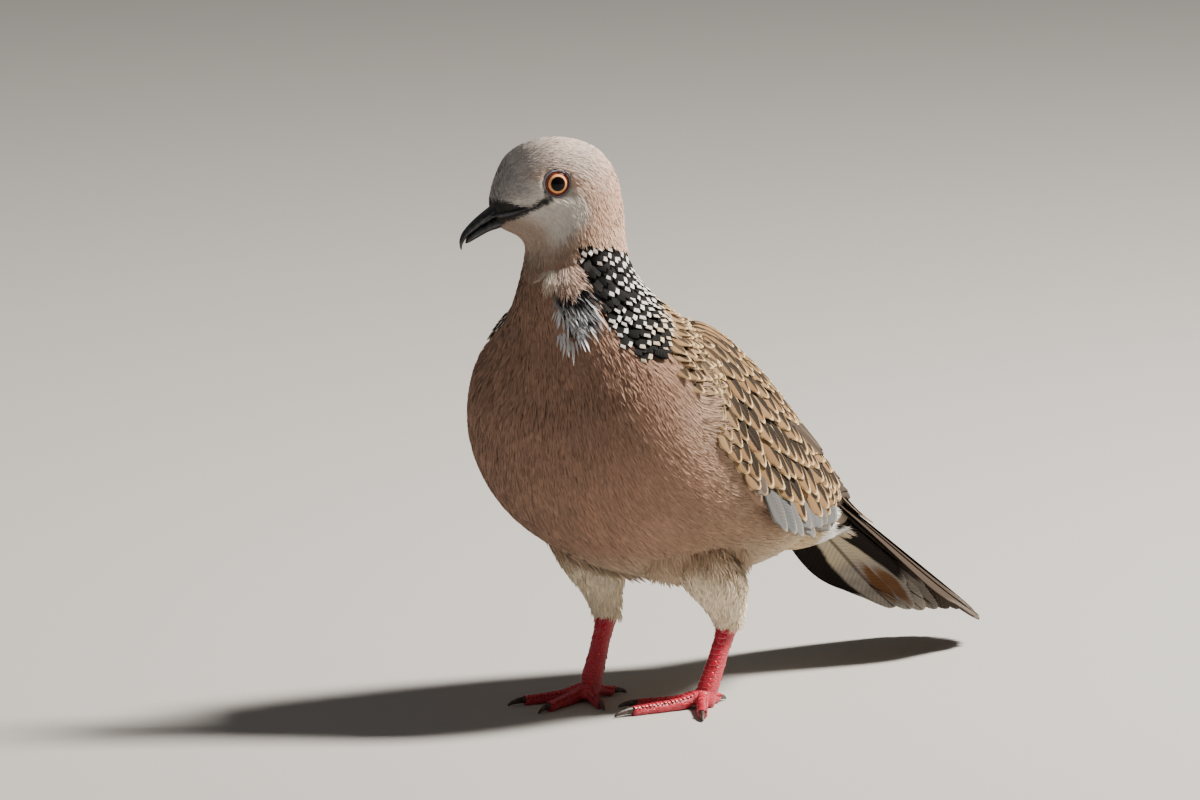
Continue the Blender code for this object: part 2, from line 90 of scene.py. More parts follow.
# The bill, in the head's own upright plane: culmen (ahead, up), lower edge (ahead, up), half width.
UPPER_BILL = np.array(
    (
        (53.8, 145.6, 53.0, 141.8, 3.7),
        (55.8, 144.6, 54.4, 141.4, 3.7),
        (58.1, 143.0, 56.7, 140.1, 3.25),
        (61.1, 140.8, 59.7, 138.4, 2.7),
        (64.0, 138.3, 62.8, 136.4, 2.2),
        (66.1, 135.9, 64.9, 134.8, 1.7),
        (67.0, 133.8, 65.8, 133.5, 1.15),
        (67.0, 132.1, 66.3, 132.3, 0.65),
        (66.7, 131.1, 66.4, 131.2, 0.25),
    )
)
LOWER_BILL = np.array(
    (
        (52.5, 141.5, 51.8, 138.6, 3.6),
        (54.0, 141.5, 53.3, 138.1, 3.5),
        (56.8, 140.3, 55.8, 136.9, 3.1),
        (60.0, 138.5, 59.0, 135.9, 2.55),
        (63.0, 136.5, 62.1, 134.3, 1.95),
        (64.8, 134.8, 64.3, 133.1, 1.3),
        (65.4, 133.1, 65.3, 132.8, 0.5),
    )
)
EYE_AHEAD, EYE_UP, EYE_ASIDE, EYE_RADIUS = 41.9, 149.8, 6.1, 4.8

# The folded wing, from its bend to its tip: ahead, then (left, up) of its upper edge on the back,
# (left, up) of its lower edge on the flank, and its thickness.
WING = np.array(
    (
        (22.0, 30.5, 103.6, 36.6, 88.0, 1.4),
        (17.0, 25.0, 108.4, 37.4, 76.0, 3.0),
        (7.0, 18.5, 110.8, 37.4, 61.0, 4.6),
        (-6.0, 13.0, 106.0, 36.4, 51.5, 5.0),
        (-22.0, 9.0, 97.6, 33.2, 48.4, 4.6),
        (-38.0, 6.0, 86.8, 28.0, 47.8, 4.0),
        (-54.0, 3.5, 74.2, 21.8, 47.8, 3.2),
        (-68.0, 1.8, 63.2, 14.8, 49.0, 2.2),
        (-79.0, 1.4, 54.2, 9.8, 48.6, 1.5),
        (-86.0, 1.6, 48.6, 5.5, 46.4, 1.0),
    )
)
WING_ROUNDNESS = 2.2

# The tail: its root, its slope in degrees, and the sag of its arch.
TAIL_ROOT_AHEAD, TAIL_ROOT_UP, TAIL_PITCH, TAIL_ARCH = -45.0, 70.0, 31.4, 0.0243
# The feathers under it, along the tail: reach from its root, depth and half width.
UNDERTAIL_DROP = 0.6
UNDERTAIL = np.array(
    (
        (18.7, 27.4, 18.6),
        (25.0, 24.0, 17.8),
        (32.0, 19.3, 16.3),
        (39.0, 13.8, 13.8),
        (45.0, 9.4, 10.5),
        (51.0, 6.6, 6.0),
    )
)

# Each leg: the feathered tibia's centres (left, ahead, up) with radii across and along, then the
# ankle, the foot's centre, and how far each toe turns inwards, in degrees.
LEGS = {
    "left": {
        "side": 1,
        "tibia": (
            (15.0, 5.0, 54.0, 5.0, 8.0),
            (16.4, 3.5, 47.0, 9.2, 12.5),
            (18.0, -1.0, 40.0, 8.6, 11.2),
            (19.3, -5.0, 34.0, 7.3, 8.6),
            (19.5, -7.9, 29.0, 5.2, 5.9),
            (19.5, -9.7, 25.2, 3.7, 4.0),
            (19.5, -10.2, 23.4, 3.1, 3.3),
        ),
        "ankle": (19.5, -10.4, 22.9),
        "foot": (17.0, -1.6),
        "toes": {"middle": 15, "inner": 48, "outer": -38, "hind": 170},
    },
    "right": {
        "side": -1,
        "tibia": (
            (-15.0, 10.0, 54.0, 5.0, 8.0),
            (-16.4, 7.5, 47.0, 9.2, 12.0),
            (-18.0, 3.4, 40.5, 8.4, 10.8),
            (-19.0, -0.2, 35.0, 7.1, 8.1),
            (-19.1, -2.6, 29.8, 4.8, 5.3),
            (-19.3, -4.6, 25.0, 3.4, 3.6),
            (-19.5, -5.4, 22.8, 2.9, 3.1),
        ),
        "ankle": (-19.5, -5.7, 22.2),
        "foot": (-17.0, 6.7),
        "toes": {"middle": 12, "inner": 50, "outer": -20, "hind": 168},
    },
}
TOE_LENGTH = {"middle": 24.5, "inner": 18.0, "outer": 20.5, "hind": 9.5}
CLAW_LENGTH = {"middle": 5.6, "inner": 5.0, "outer": 5.0, "hind": 4.6}
TOE_WIDTH, TOE_TIP_WIDTH = 1.95, 1.45
SOLE_CUT = 0.3
SHANK_ACROSS, SHANK_ALONG, FOOT_HEIGHT = 2.15, 2.6, 6.4


# ---- curves and surfaces


def through(rows, place):
    """A Catmull-Rom curve through the rows, read at the row numbers in `place`."""
    last = len(rows) - 1
    place = np.clip(np.asarray(place, float), 0, last)
    row = np.minimum(place.astype(int), last - 1)
    share = (place - row)[..., None]
    before, first = rows[np.maximum(row - 1, 0)], rows[row]
    second, after = rows[row + 1], rows[np.minimum(row + 2, last)]
    bend = 2 * before - 5 * first + 4 * second - after
    twist = 3 * first - before - 3 * second + after
    return first + 0.5 * share * (second - before + share * (bend + share * twist))


def columns_at(rows, value):
    """The columns of the curve through the rows, read where the first of them has the value."""
    order = np.argsort(rows[:, 0])
    place = np.interp(value, rows[order, 0], np.arange(len(rows))[order])
    return np.moveaxis(through(rows, place), -1, 0)


def unit(vectors):
    """The vectors over their lengths."""
    return vectors / np.maximum(np.linalg.norm(vectors, axis=-1, keepdims=True), 1e-9)


def dot(a, b):
    """The sum of the products along the last axis, which is kept."""
    return (a * b).sum(-1, keepdims=True)


def grid(first, second):
    """Every pair of two lists of parameters, row by row, as two flat arrays."""
    u, v = np.meshgrid(first, second, indexing="ij")
    return u.ravel(), v.ravel()


def circle(count):
    """Angles evenly spaced round a whole turn, as an array."""
    return np.linspace(0, 2 * math.pi, count, endpoint=False)


def smooth_step(low, high, value):
    """0 below low, 1 above high, and 3x^2 - 2x^3 between them."""
    share = np.clip((np.asarray(value, float) - low) / (high - low), 0, 1)
    return share * share * (3 - 2 * share)


def power_of(value, power):
    """The value's size raised to the power, with its sign kept."""
    return np.sign(value) * np.abs(value) ** power


def in_turned_plane(ahead, up, turn):
    """Points of the body's upright middle plane, turned by degrees about the neck's pivot."""
    angle = np.radians(turn)
    reach = ahead - NECK_PIVOT_AHEAD
    y = -NECK_PIVOT_AHEAD - reach * np.cos(angle)
    return np.stack([-reach * np.sin(angle), y, up + 0 * angle], axis=-1)


def body_surface(place, around):
    """The coat's outline at a station number and an angle round from the back: a superellipse, the
    powers of the cosine towards the back and of the sine towards the side."""
    ahead, up, low_ahead, low_up, width, turn = np.moveaxis(through(BODY, place), -1, 0)
    back = in_turned_plane(ahead, up, turn)
    front = in_turned_plane(low_ahead, low_up, turn)
    share = np.clip((place - BREAST_TOP) / (THROAT - BREAST_TOP), 0, 1)
    power = 2 / (ROUNDNESS_TRUNK + (ROUNDNESS_HEAD - ROUNDNESS_TRUNK) * share)
    rise = power_of(np.cos(around), power)[..., None]
    side = (power_of(np.sin(around), power) * width)[..., None]
    angle = np.radians(turn)
    across = np.stack([np.cos(angle), -np.sin(angle), 0 * angle], axis=-1)
    return (back + front) / 2 + rise * (back - front) / 2 + side * across


def wing_surface(side):
    """The folded wing's outer face: at a distance ahead, a quarter superellipse from its upper
    edge on the back (share 0) to its lower edge on the flank (share 1)."""
    power = 2 / WING_ROUNDNESS

    def surface(ahead, share):
        _, top, top_up, low, low_up, _ = columns_at(WING, ahead)
        out, rise = np.sin(share * math.pi / 2) ** power, np.cos(share * math.pi / 2) ** power
        left = top + (low - top) * out
        return np.stack([side * left, -ahead, low_up + (top_up - low_up) * rise], axis=-1)

    return surface


def on_tail(reach, left, height):
    """Points at a distance along the tail, to its left, and over its plane, which is pitched down
    and arched by the square of the distance to the left."""
    pitch = math.radians(TAIL_PITCH)
    lift = height - TAIL_ARCH * left**2
    y = -TAIL_ROOT_AHEAD + reach * math.cos(pitch) + lift * math.sin(pitch)
    z = TAIL_ROOT_UP - reach * math.sin(pitch) + lift * math.cos(pitch)
    return np.stack([left + 0 * y, y, z], axis=-1)


def undertail_surface(reach, around):
    """The vent and undertail coverts: a half oval under the tail, from its right side (angle 0)
    round below to its left side (angle pi), at a distance along the tail."""
    _, depth, half = columns_at(UNDERTAIL, reach)
    return on_tail(reach, -half * np.cos(around), -UNDERTAIL_DROP - depth * np.sin(around))


def tibia_surface(leg):
    """The feathered leg: level ovals by cosine and sine, at a row number and an angle round."""
    rows = np.array(leg["tibia"])

    def surface(place, around):
        left, ahead, up, across, along = np.moveaxis(through(rows, place), -1, 0)
        x = left + across * np.cos(around)
        return np.stack([x, -ahead + along * np.sin(around), up + 0 * x], axis=-1)

    return surface


def extended(surface, low, high):
    """The surface, carried straight on along its own tangents past the limits of its parameters:
    the nearest point inside, plus each slope times the distance beyond."""
    step = 0.004

    def longer(u, v):
        u, v = np.broadcast_arrays(u, v)
        inside_u, inside_v = np.clip(u, low[0], high[0]), np.clip(v, low[1], high[1])
        points = surface(inside_u, inside_v)
        beyond = (inside_u != u) | (inside_v != v)
        if beyond.any():
            a, b = inside_u[beyond], inside_v[beyond]
            a_near = np.where(a > (low[0] + high[0]) / 2, a - step, a + step)
            b_near = np.where(b > (low[1] + high[1]) / 2, b - step, b + step)
            here = points[beyond]
            slope_u = (surface(a_near, b) - here) / (a_near - a)[:, None]
            slope_v = (surface(a, b_near) - here) / (b_near - b)[:, None]
            more = slope_u * (u[beyond] - a)[:, None] + slope_v * (v[beyond] - b)[:, None]
            points[beyond] = here + more
        return points

    return longer


# ---- laying feathers

SHEET_MARGIN = 0.01


class Face:
    """A surface of two parameters, the limits of its unwrap, and which way is out."""

    def __init__(self, surface, low, high, outwards, sheet=(0.0, 0.0, 1.0, 1.0)):
        self.surface = extended(surface, low, high)
        self.low, self.high = np.array(low, float), np.array(high, float)
        self.outwards = outwards
        self.sheet = sheet

    def frame(self, u, v):
        """Both tangents and the outward normal, from points a small step to each side."""
        steps = (self.high - self.low) * 0.002
        along_u = (self.surface(u + steps[0], v) - self.surface(u - steps[0], v)) / (2 * steps[0])
        along_v = (self.surface(u, v + steps[1]) - self.surface(u, v - steps[1])) / (2 * steps[1])
        return along_u, along_v, unit(np.cross(along_u, along_v)) * self.outwards

    def unwrap(self, u, v):
        """The place of a root on the flat sheet: its parameters as shares of their ranges."""
        left, low, width, height = self.sheet
        share_u = np.clip((u - self.low[0]) / (self.high[0] - self.low[0]), 0, 1)
        share_v = np.clip((v - self.low[1]) / (self.high[1] - self.low[1]), 0, 1)
        used = 1 - 2 * SHEET_MARGIN
        x = left + width * (SHEET_MARGIN + used * share_u)
        y = low + height * (SHEET_MARGIN + used * share_v)
        return np.stack([x, y], axis=-1)


def rows_of_roots(face, places, spacing, limits, seed, looseness=0.3):
    """Roots in staggered rows: each row is a line of one first parameter, shared out evenly by
    length, every second row half a step along. Each root is moved at random by a small share."""
    rng = np.random.default_rng(seed)
    found_u, found_v, samples = [], [], 241
    pitch = np.gradient(places)
    for number, (place, step) in enumerate(zip(places, pitch)):
        line = np.linspace(*limits, samples)
        points = face.surface(np.full(samples, place), line)
        run = np.concatenate([[0], np.cumsum(np.linalg.norm(np.diff(points, axis=0), axis=1))])
        count = max(2, int(run[-1] / np.interp(place, *spacing)))
        at = (np.arange(count) + 0.25 + 0.5 * (number % 2)) / count
        at = (at + rng.uniform(-0.5, 0.5, count) * looseness / count) * run[-1]
        found_v.append(np.interp(at, run, line))
        found_u.append(place + rng.uniform(-0.5, 0.5, count) * looseness * step)
    return np.concatenate(found_u), np.concatenate(found_v)


def tailward(along_u, points):
    """Back along the first parameter: over the body to the rump, or over the wing to its tip."""
    return -along_u


def along(direction):
    """A lie that keeps one direction, laid into the surface."""
    return lambda along_u, points: np.broadcast_to(unit(np.array(direction)), along_u.shape)


def walk(face, u, v, length, yaw, lie, steps=6):
    """Each shaft's path, in equal steps over the surface along the lie turned by the yaw. Kept at
    every step: the parameters, their change for 1 mm to the side, and the outward normal. A change
    of the parameters comes from a vector by the inverse of the tangents' dot products."""
    stations = []
    for _ in range(steps + 1):
        along_u, along_v, normal = face.frame(u, v)
        onward = lie(along_u, face.surface(u, v))
        onward = unit(onward - normal * dot(onward, normal))
        turned = np.cos(yaw)[:, None] * onward + np.sin(yaw)[:, None] * np.cross(normal, onward)
        side = np.cross(normal, turned)
        uu, uv, vv = dot(along_u, along_u), dot(along_u, along_v), dot(along_v, along_v)
        spread = uu * vv - uv**2

        def change(vector):
            """The parameters' change that moves a point by the vector."""
            a, b = dot(along_u, vector), dot(along_v, vector)
            return np.concatenate([vv * a - uv * b, uu * b - uv * a], axis=1) / spread

        aside = change(side)
        stations.append(np.concatenate([u[:, None], v[:, None], aside, normal], axis=1))
        move = change(turned) * (length / steps)[:, None]
        u, v = u + move[:, 0], v + move[:, 1]
    return np.stack(stations, axis=1)


def on_paths(face, paths, share, across, height):
    """Points at shares of each path's length, at distances across it and over the surface."""
    steps = paths.shape[1] - 1
    step = np.clip((share * steps).astype(int), 0, steps - 1)
    rest = (share * steps - step)[..., None]
    row = np.arange(len(paths))[:, None]
    here = paths[row, step] * (1 - rest) + paths[row, step + 1] * rest
    u = here[..., 0] + across * here[..., 2]
    v = here[..., 1] + across * here[..., 3]
    return face.surface(u, v) + unit(here[..., 4:7]) * height[..., None]


def tuft_form(barbs, spread=0.5, root_spread=0.22, barb_width=0.16, rows=(0.0, 0.4, 0.75)):
    """A fan of flat barbs, as flat arrays. Each barb runs from its place near the root out to its
    place at the tip by the power 0.8 of its length, is widest in its middle and ends in a point.
    Barbs grow shorter by the square of their distance from the middle one."""
    order = np.linspace(-1, 1, barbs)
    rows = np.array(rows)
    swell = np.interp(rows, (0, 0.5, 1), (0.6, 1.0, 0.55)) * barb_width
    share = np.concatenate([np.repeat(rows, 2), [1.0]])
    edge = np.concatenate([np.tile([-1.0, 1.0], len(rows)), [0.0]])
    half = np.concatenate([np.repeat(swell, 2), [0.0]])
    length = 1 - 0.28 * order**2
    centre = order[:, None] * (root_spread + (spread - root_spread) * share[None] ** 0.8)
    count = len(share)
    faces = [(2 * k, 2 * k + 1, 2 * k + 3, 2 * k + 2) for k in range(len(rows) - 1)]
    last = (count - 3, count - 2, count - 1)
    offsets = (np.arange(barbs) * count)[:, None, None]
    return {
        "share": (share[None] * length[:, None]).ravel(),
        "across": (centre + edge * half).ravel(),
        "edge": np.tile(edge * half, barbs),
        "reach": np.tile(share, barbs),
        "barb": np.repeat(np.arange(barbs), count),
        "quads": (np.array(faces)[None] + offsets).reshape(-1, 4),
        "triangles": (np.array([last])[None] + offsets).reshape(-1, 3),
        "barbs": barbs,
    }


def grid_faces(rows, columns):
    """The quads of a grid of points, row by row."""
    corner = np.arange((rows - 1) * columns).reshape(rows - 1, columns)[:, :-1].ravel()
    return np.stack([corner, corner + 1, corner + columns + 1, corner + columns], axis=1)


def vane_form(rows, columns, waist=0.62, blunt=0.5, roundness=0.3, notch=0.0, skew=0.0):
    """A leaf with rounded end, as a closed thin shell: an upper and a lower grid that share their
    rim. Its half width swells from the root as a quarter sine up to the waist, then narrows to the
    blunt share; its end row bows back to the sides by x squared, and back at the shaft by a notch.
    A skew makes one web wider than the other."""
    reach = 1 - (1 - np.linspace(0, 1, rows)) ** 1.35
    x = np.linspace(-1, 1, columns)
    swell = np.where(
        reach < waist,
        0.35 + 0.65 * np.sin(np.clip(reach / waist, 0, 1) * math.pi / 2),
        1 - (1 - blunt) * np.clip((reach - waist) / (1 - waist), 0, 1) ** 2,
    )
    bow = roundness * np.abs(x) ** 2.3 + notch * np.exp(-((x / 0.22) ** 2))
    share = reach[:, None] * (1 - bow[None] * reach[:, None] ** 3)
    upper = np.arange(rows * columns).reshape(rows, columns)
    inner = np.zeros((rows, columns), bool)
    inner[1:-1, 1:-1] = True
    lower = upper.copy()
    lower[inner] = rows * columns + np.arange(inner.sum())
    quads = grid_faces(rows, columns)
    under = lower.ravel()[quads][:, ::-1]

    def doubled(values):
        """The upper grid's values, then those of the lower grid's inner points."""
        return np.concatenate([values.ravel(), values[inner]])

    ones = np.ones((rows, columns))
    return {
        "share": doubled(share),
        "x": doubled(x[None] * ones),
        "across": doubled(0.5 * (x + skew * x**2)[None] * swell[:, None]),
        "reach": doubled(reach[:, None] * ones),
        "layer": np.concatenate([inner.ravel() * 1.0, -np.ones(inner.sum())]),
        "quads": np.concatenate([quads, under]),
        "triangles": np.zeros((0, 3), int),
    }


def for_each(count, *values):
    """Each value as one number for every feather."""
    return [np.broadcast_to(value, count) for value in values]


def parabola(share, deep, high):
    """The rise from below the surface at the root to above it at the tip."""
    return -deep[:, None] * (1 - share) ** 2 + high[:, None] * share**2


def lay_tufts(face, roots, length, width, tint, seed, form, depth=1.6, proud=0.2, lie=None,
              sway=0.07, yaw=0.09, barb_tone=0.08, root_shade=0.8, curl=0.0, tip=None, rough=0.3):
    """Soft feathers: fans of barbs that leave the skin at their roots and come level with the
    coat's outline towards their tips, as a parabola. Barbs differ a little in length, sway, height,
    roll and tone, by the roughness, and end in the tip's colour."""
    rng = np.random.default_rng(seed)
    u, v = roots
    count, barbs = len(u), form["barbs"]
    length, width, deep, high = for_each(count, length, width, depth, proud)
    paths = walk(face, u, v, length, rng.normal(0, yaw, count), lie or tailward)

    def by_barb(spread):
        """A random number for each barb, given to all of its points."""
        return (rng.normal(0, 1, (count, barbs)) * spread)[:, form["barb"]]

    reach = form["reach"][None]
    share = form["share"][None] * (1 + by_barb(0.09))
    across = (form["across"][None] + by_barb(sway) * reach**2) * width[:, None]
    rise = parabola(share, deep, high) + curl * share**4
    lift = (np.abs(by_barb(0.12)) + rng.uniform(0, 0.25, count)[:, None]) * reach * rough
    roll = by_barb(0.15 + 0.4 * rough) * form["edge"][None] * width[:, None]
    points = on_paths(face, paths, share, across, rise + lift + roll)
    shade = root_shade + (1 - root_shade) * smooth_step(0.1, 0.75, share)
    tint = np.broadcast_to(tint[:, None], (*share.shape, 3))
    if tip is not None:
        tint = mixed(tint, tip[:, None], smooth_step(0.72, 0.9, share))
    colour = tint * (shade * (1 + by_barb(barb_tone)))[..., None]
    patch = np.stack([form["across"] + 0.5, form["reach"]], axis=-1)
    return layer(face, u, v, points, colour, patch, form)


def lay_vanes(face, roots, length, width, tint, seed, form, depth=1.2, proud=0.25, lie=None,
              yaw=0.06, camber=0.16, thickness=0.14, mark=0.0, edge=0.0, mirror=1,
              patch_size=0.003, turn=0.0, lift=0.0):
    """Firm feathers: leaf shells that rise from the skin as a parabola, arched across the shaft by
    the square of the distance from it. Their edges ripple by a sine and tilt a little at random."""
    rng = np.random.default_rng(seed)
    u, v = roots
    count = len(u)
    length, width, deep, high = for_each(count, length, width, depth, proud)
    paths = walk(face, u, v, length, turn + rng.normal(0, yaw, count), lie or tailward)
    share = form["share"][None] + 0 * length[:, None]
    ripple = 0.02 * rng.normal(0, 1, (count, 1)) * np.sin(form["reach"] * 9 + form["x"] * 2)[None]
    across = (form["across"][None] + ripple) * width[:, None]
    tilt = rng.normal(0, 0.05, count)[:, None] * form["x"][None] * width[:, None] * 0.5
    rise = parabola(share, deep, high)
    arch = -camber * width[:, None] * 0.5 * form["x"][None] ** 2
    shell = form["layer"][None] * thickness / 2
    stagger = rng.uniform(-0.5, 0.5, count) * thickness
    offset = (np.broadcast_to(lift, count) + stagger)[:, None]
    points = on_paths(face, paths, share, across, rise + arch + tilt + shell + offset)
    colour = np.broadcast_to(tint[:, None], points.shape)
    patch = np.stack([0.5 + 0.5 * mirror * form["x"], form["reach"]], axis=-1)
    made = layer(face, u, v, points, colour, patch, form, patch_size)
    made["under"] = np.tile((form["layer"] < 0) * 1.0, count)
    for name, values in (("mark", mark), ("edge", edge), ("chance", rng.uniform(0, 1, count))):
        made[name] = np.repeat(np.broadcast_to(values, count), len(form["share"]))
    return made


def layer(face, u, v, points, colour, patch, form, patch_size=0.003):
    """One kind of feather as flat arrays: points, faces, colours, and two sets of map places."""
    count, size = points.shape[:2]
    offsets = (np.arange(count) * size)[:, None, None]
    root = face.unwrap(u, v)[:, None]
    return {
        "points": points.reshape(-1, 3),
        "quads": (form["quads"][None] + offsets).reshape(-1, 4),
        "triangles": (form["triangles"][None] + offsets).reshape(-1, 3),
        "tint": np.clip(colour, 0, 1).reshape(-1, 3),
        "vane": np.broadcast_to(patch[None], (count, size, 2)).reshape(-1, 2),
        "bake": (root + patch_size * (patch[None] - 0.5)).reshape(-1, 2),
    }


def joined(layers):
    """Layers of feathers as one: their arrays end to end, with the faces' numbers moved on."""
    start = np.cumsum([0] + [len(each["points"]) for each in layers[:-1]])
    merged = {}
    for key in layers[0]:
        shift = start if key in ("quads", "triangles") else np.zeros(len(layers), int)
        merged[key] = np.concatenate([each[key] + move for each, move in zip(layers, shift)])
    return merged


def kept(keep, *arrays):
    """The wanted rows of each array."""
    return tuple(array[keep] for array in arrays)


# ---- meshes


def cad_shift():
    """From the bird's own axes to the frame's, in metres, by the middle of the left eye."""
    low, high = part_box("eye_left")
    middle = np.array((low + high) / 2)
    return middle - head_point(EYE_AHEAD, EYE_UP, EYE_ASIDE) * MM


def head_point(ahead, up, aside):
    """A point of the turned head: in its upright middle plane, then to its left."""
    turn = math.radians(HEAD_TURN)
    across = np.array([math.cos(turn), -math.sin(turn), 0.0])
    ahead, up, aside = np.broadcast_arrays(*(np.asarray(v, float) for v in (ahead, up, aside)))
    return in_turned_plane(ahead, up, HEAD_TURN) + aside[..., None] * across


SHIFT = cad_shift()


def placed(name, data):
    """A new object that holds the data, in the scene."""
    made = bpy.data.objects.new(name, data)
    bpy.context.scene.collection.objects.link(made)
    return made


def put_points(mesh, points):
    """Set a mesh's points from millimetres in the bird's own axes."""
    mesh.vertices.foreach_set("co", (points * MM + SHIFT).astype(np.float32).ravel())


def new_mesh(name, points, face_sets):
    """A mesh object from points in millimetres and arrays of faces, put in at one go."""
    mesh = bpy.data.meshes.new(name)
    face_sets = [faces for faces in face_sets if len(faces)]
    corners = np.concatenate([faces.ravel() for faces in face_sets]).astype(np.int32)
    sides = np.concatenate([np.full(len(faces), faces.shape[1]) for faces in face_sets])
    starts = np.concatenate([[0], np.cumsum(sides)[:-1]]).astype(np.int32)
    mesh.vertices.add(len(points))
    put_points(mesh, points)
    mesh.loops.add(len(corners))
    mesh.loops.foreach_set("vertex_index", corners)
    mesh.polygons.add(len(sides))
    mesh.polygons.foreach_set("loop_start", starts)
    mesh.update(calc_edges=True)
    mesh.shade_smooth()
    return placed(name, mesh)


def add_map(mesh, name, places):
    """A UV map from a place for each point."""
    corners = np.empty(len(mesh.loops), np.int32)
    mesh.loops.foreach_get("vertex_index", corners)
    made = mesh.uv_layers.new(name=name)
    made.data.foreach_set("uv", places[corners].astype(np.float32).ravel())


def add_values(mesh, name, values):
    """A number, or a colour of three numbers, for each point."""
    if values.ndim == 1:
        made = mesh.attributes.new(name, "FLOAT", "POINT")
        made.data.foreach_set("value", values.astype(np.float32))
        return
    made = mesh.attributes.new(name, "FLOAT_COLOR", "POINT")
    colours = np.concatenate([values, np.ones((len(values), 1))], axis=1)
    made.data.foreach_set("color", colours.astype(np.float32).ravel())


def finished(piece, material, slot, *nodes):
    """Give a piece its material, let it ride, and let it stand for its nodes. The slot is not used.
    """
    piece.data.materials.clear()
    piece.data.materials.append(material)
    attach(piece, "root")
    if nodes:
        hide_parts(*nodes)
    return piece


def coat_piece(name, layers, material, slot, *nodes):
    """One coat piece from its layers, with its maps and values."""
    coat = joined(layers)
    piece = new_mesh(name, coat["points"], (coat["quads"], coat["triangles"]))
    add_map(piece.data, "Vane", coat["vane"])
    add_map(piece.data, "OFBake", coat["bake"])
    for value in ("tint", "mark", "edge", "chance", "under"):
        if value in coat:
            add_values(piece.data, value, coat[value])
    return finished(piece, material, slot, *nodes)


def tube(rings):
    """Points and faces of a skin over rings of points, its ends closed by a point each."""
    rings = np.asarray(rings, float)
    count, sides = rings.shape[:2]
    points = rings.reshape(-1, 3)
    near = np.arange((count - 1) * sides).reshape(count - 1, sides)
    onward = np.roll(near, -1, axis=1)
    quads = np.stack([near, onward, onward + sides, near + sides], axis=-1).reshape(-1, 4)
    first = np.arange(sides)
    last = first + (count - 1) * sides
    caps = np.concatenate(
        [
            np.stack([np.roll(first, -1), first, np.full(sides, len(points))], axis=1),
            np.stack([last, np.roll(last, -1), np.full(sides, len(points) + 1)], axis=1),
        ]
    )
    return np.concatenate([points, [rings[0].mean(0), rings[-1].mean(0)]]), quads, caps


def tube_rings(centres, across, along_path, sides, reference):
    """Ovals square to a path, by cosine and sine of the angle round it; `across` is the radius at
    right angles to the reference."""
    run = unit(np.gradient(centres, axis=0))
    side = unit(np.cross(run, reference))
    fore = np.cross(side, run)
    angles = circle(sides)[None, :, None]
    wide = np.cos(angles) * (side * np.reshape(across, (-1, 1)))[:, None]
    deep = np.sin(angles) * (fore * np.reshape(along_path, (-1, 1)))[:, None]
    return centres[:, None] + wide + deep


def torus(rings):
    """Points and faces over rings that close on themselves both ways."""
    count, sides = rings.shape[:2]
    near = np.arange(count * sides).reshape(count, sides)
    onward, above = np.roll(near, -1, axis=1), np.roll(near, -1, axis=0)
    beyond = np.roll(above, -1, axis=1)
    quads = np.stack([near, onward, beyond, above], axis=-1).reshape(-1, 4)
    return rings.reshape(-1, 3), quads, np.zeros((0, 3), int)


def facing_out(points, quads, triangles):
    """The closed skin with its faces turned outwards, by the sign of the volume it holds."""
    faces = np.concatenate([quads[:, :3], quads[:, [0, 2, 3]], triangles])
    a, b, c = (points[faces[:, corner]] for corner in range(3))
    step = -1 if (a * np.cross(b, c)).sum() < 0 else 1
    return points, quads[:, ::step], triangles[:, ::step]


def solids_joined(name, solids):
    """One mesh object from several closed skins."""
    keys = ("points", "quads", "triangles")
    whole = joined([dict(zip(keys, facing_out(*solid))) for solid in solids])
    return new_mesh(name, whole["points"], (whole["quads"], whole["triangles"]))


# ---- materials


def operator(operation, turned=False):
    """A method that adds a Math node for two values, in turned order for a reflected form."""
    return lambda self, other: self.math(operation, *((other, self) if turned else (self, other)))


def plug(socket, value):
    """Link a signal to a node's socket, or set the socket's value."""
    if isinstance(value, Signal):
        socket.id_data.links.new(value.socket, socket)
    else:
        socket.default_value = value


class Signal:
    """A socket of a material. Arithmetic on signals and numbers adds Math nodes."""

    def __init__(self, tree, socket=None):
        self.tree, self.socket = tree, socket

    def node(self, kind, settings=None, inputs=None, output=0):
        """Any node: its type, its settings, set first, and its sockets' values or links."""
        made = self.tree.nodes.new(kind)
        for name, value in (settings or {}).items():
            setattr(made, name, value)
        for name, value in (inputs or {}).items():
            plug(made.inputs[name], value)
        return Signal(self.tree, made.outputs[output])

    def math(self, operation, *values):
        """A Math node on numbers or signals."""
        return self.node("ShaderNodeMath", {"operation": operation}, dict(enumerate(values)))

    __add__ = __radd__ = operator("ADD")
    __mul__ = __rmul__ = operator("MULTIPLY")
    __sub__, __rsub__ = operator("SUBTRACT"), operator("SUBTRACT", True)
    __truediv__, __rtruediv__ = operator("DIVIDE"), operator("DIVIDE", True)
    either = operator("MAXIMUM")

    def __abs__(self):
        return self.math("ABSOLUTE", self)

    def above(self, low, high):
        """0 below low, 1 above high, smooth between."""
        settings = {"interpolation_type": "SMOOTHSTEP"}
        inputs = {"Value": self, "From Min": low, "From Max": high}
        return self.node("ShaderNodeMapRange", settings, inputs)

    def below(self, low, high):
        """1 below low, 0 above high, smooth between."""
        return 1 - self.above(low, high)

    def between(self, first, second):
        """The first colour where this signal is 0, the second where it is 1."""
        inputs = {0: self, 6: opaque(first), 7: opaque(second)}
        return self.node("ShaderNodeMix", {"data_type": "RGBA"}, inputs, output=2)

    def dimmed(self, amount):
        """This colour times a signal."""
        inputs = {0: self, "Scale": amount}
        return self.node("ShaderNodeVectorMath", {"operation": "SCALE"}, inputs)


def opaque(colour):
    """The colour with full alpha, or the signal as it is."""
    return colour if isinstance(colour, Signal) or len(colour) == 4 else (*colour, 1.0)


def new_material(name):
    """The signal that a new material's nodes start from."""
    made = bpy.data.materials.new(name)
    made.use_nodes = True
    start = Signal(made.node_tree)
    start.material = made
    return start


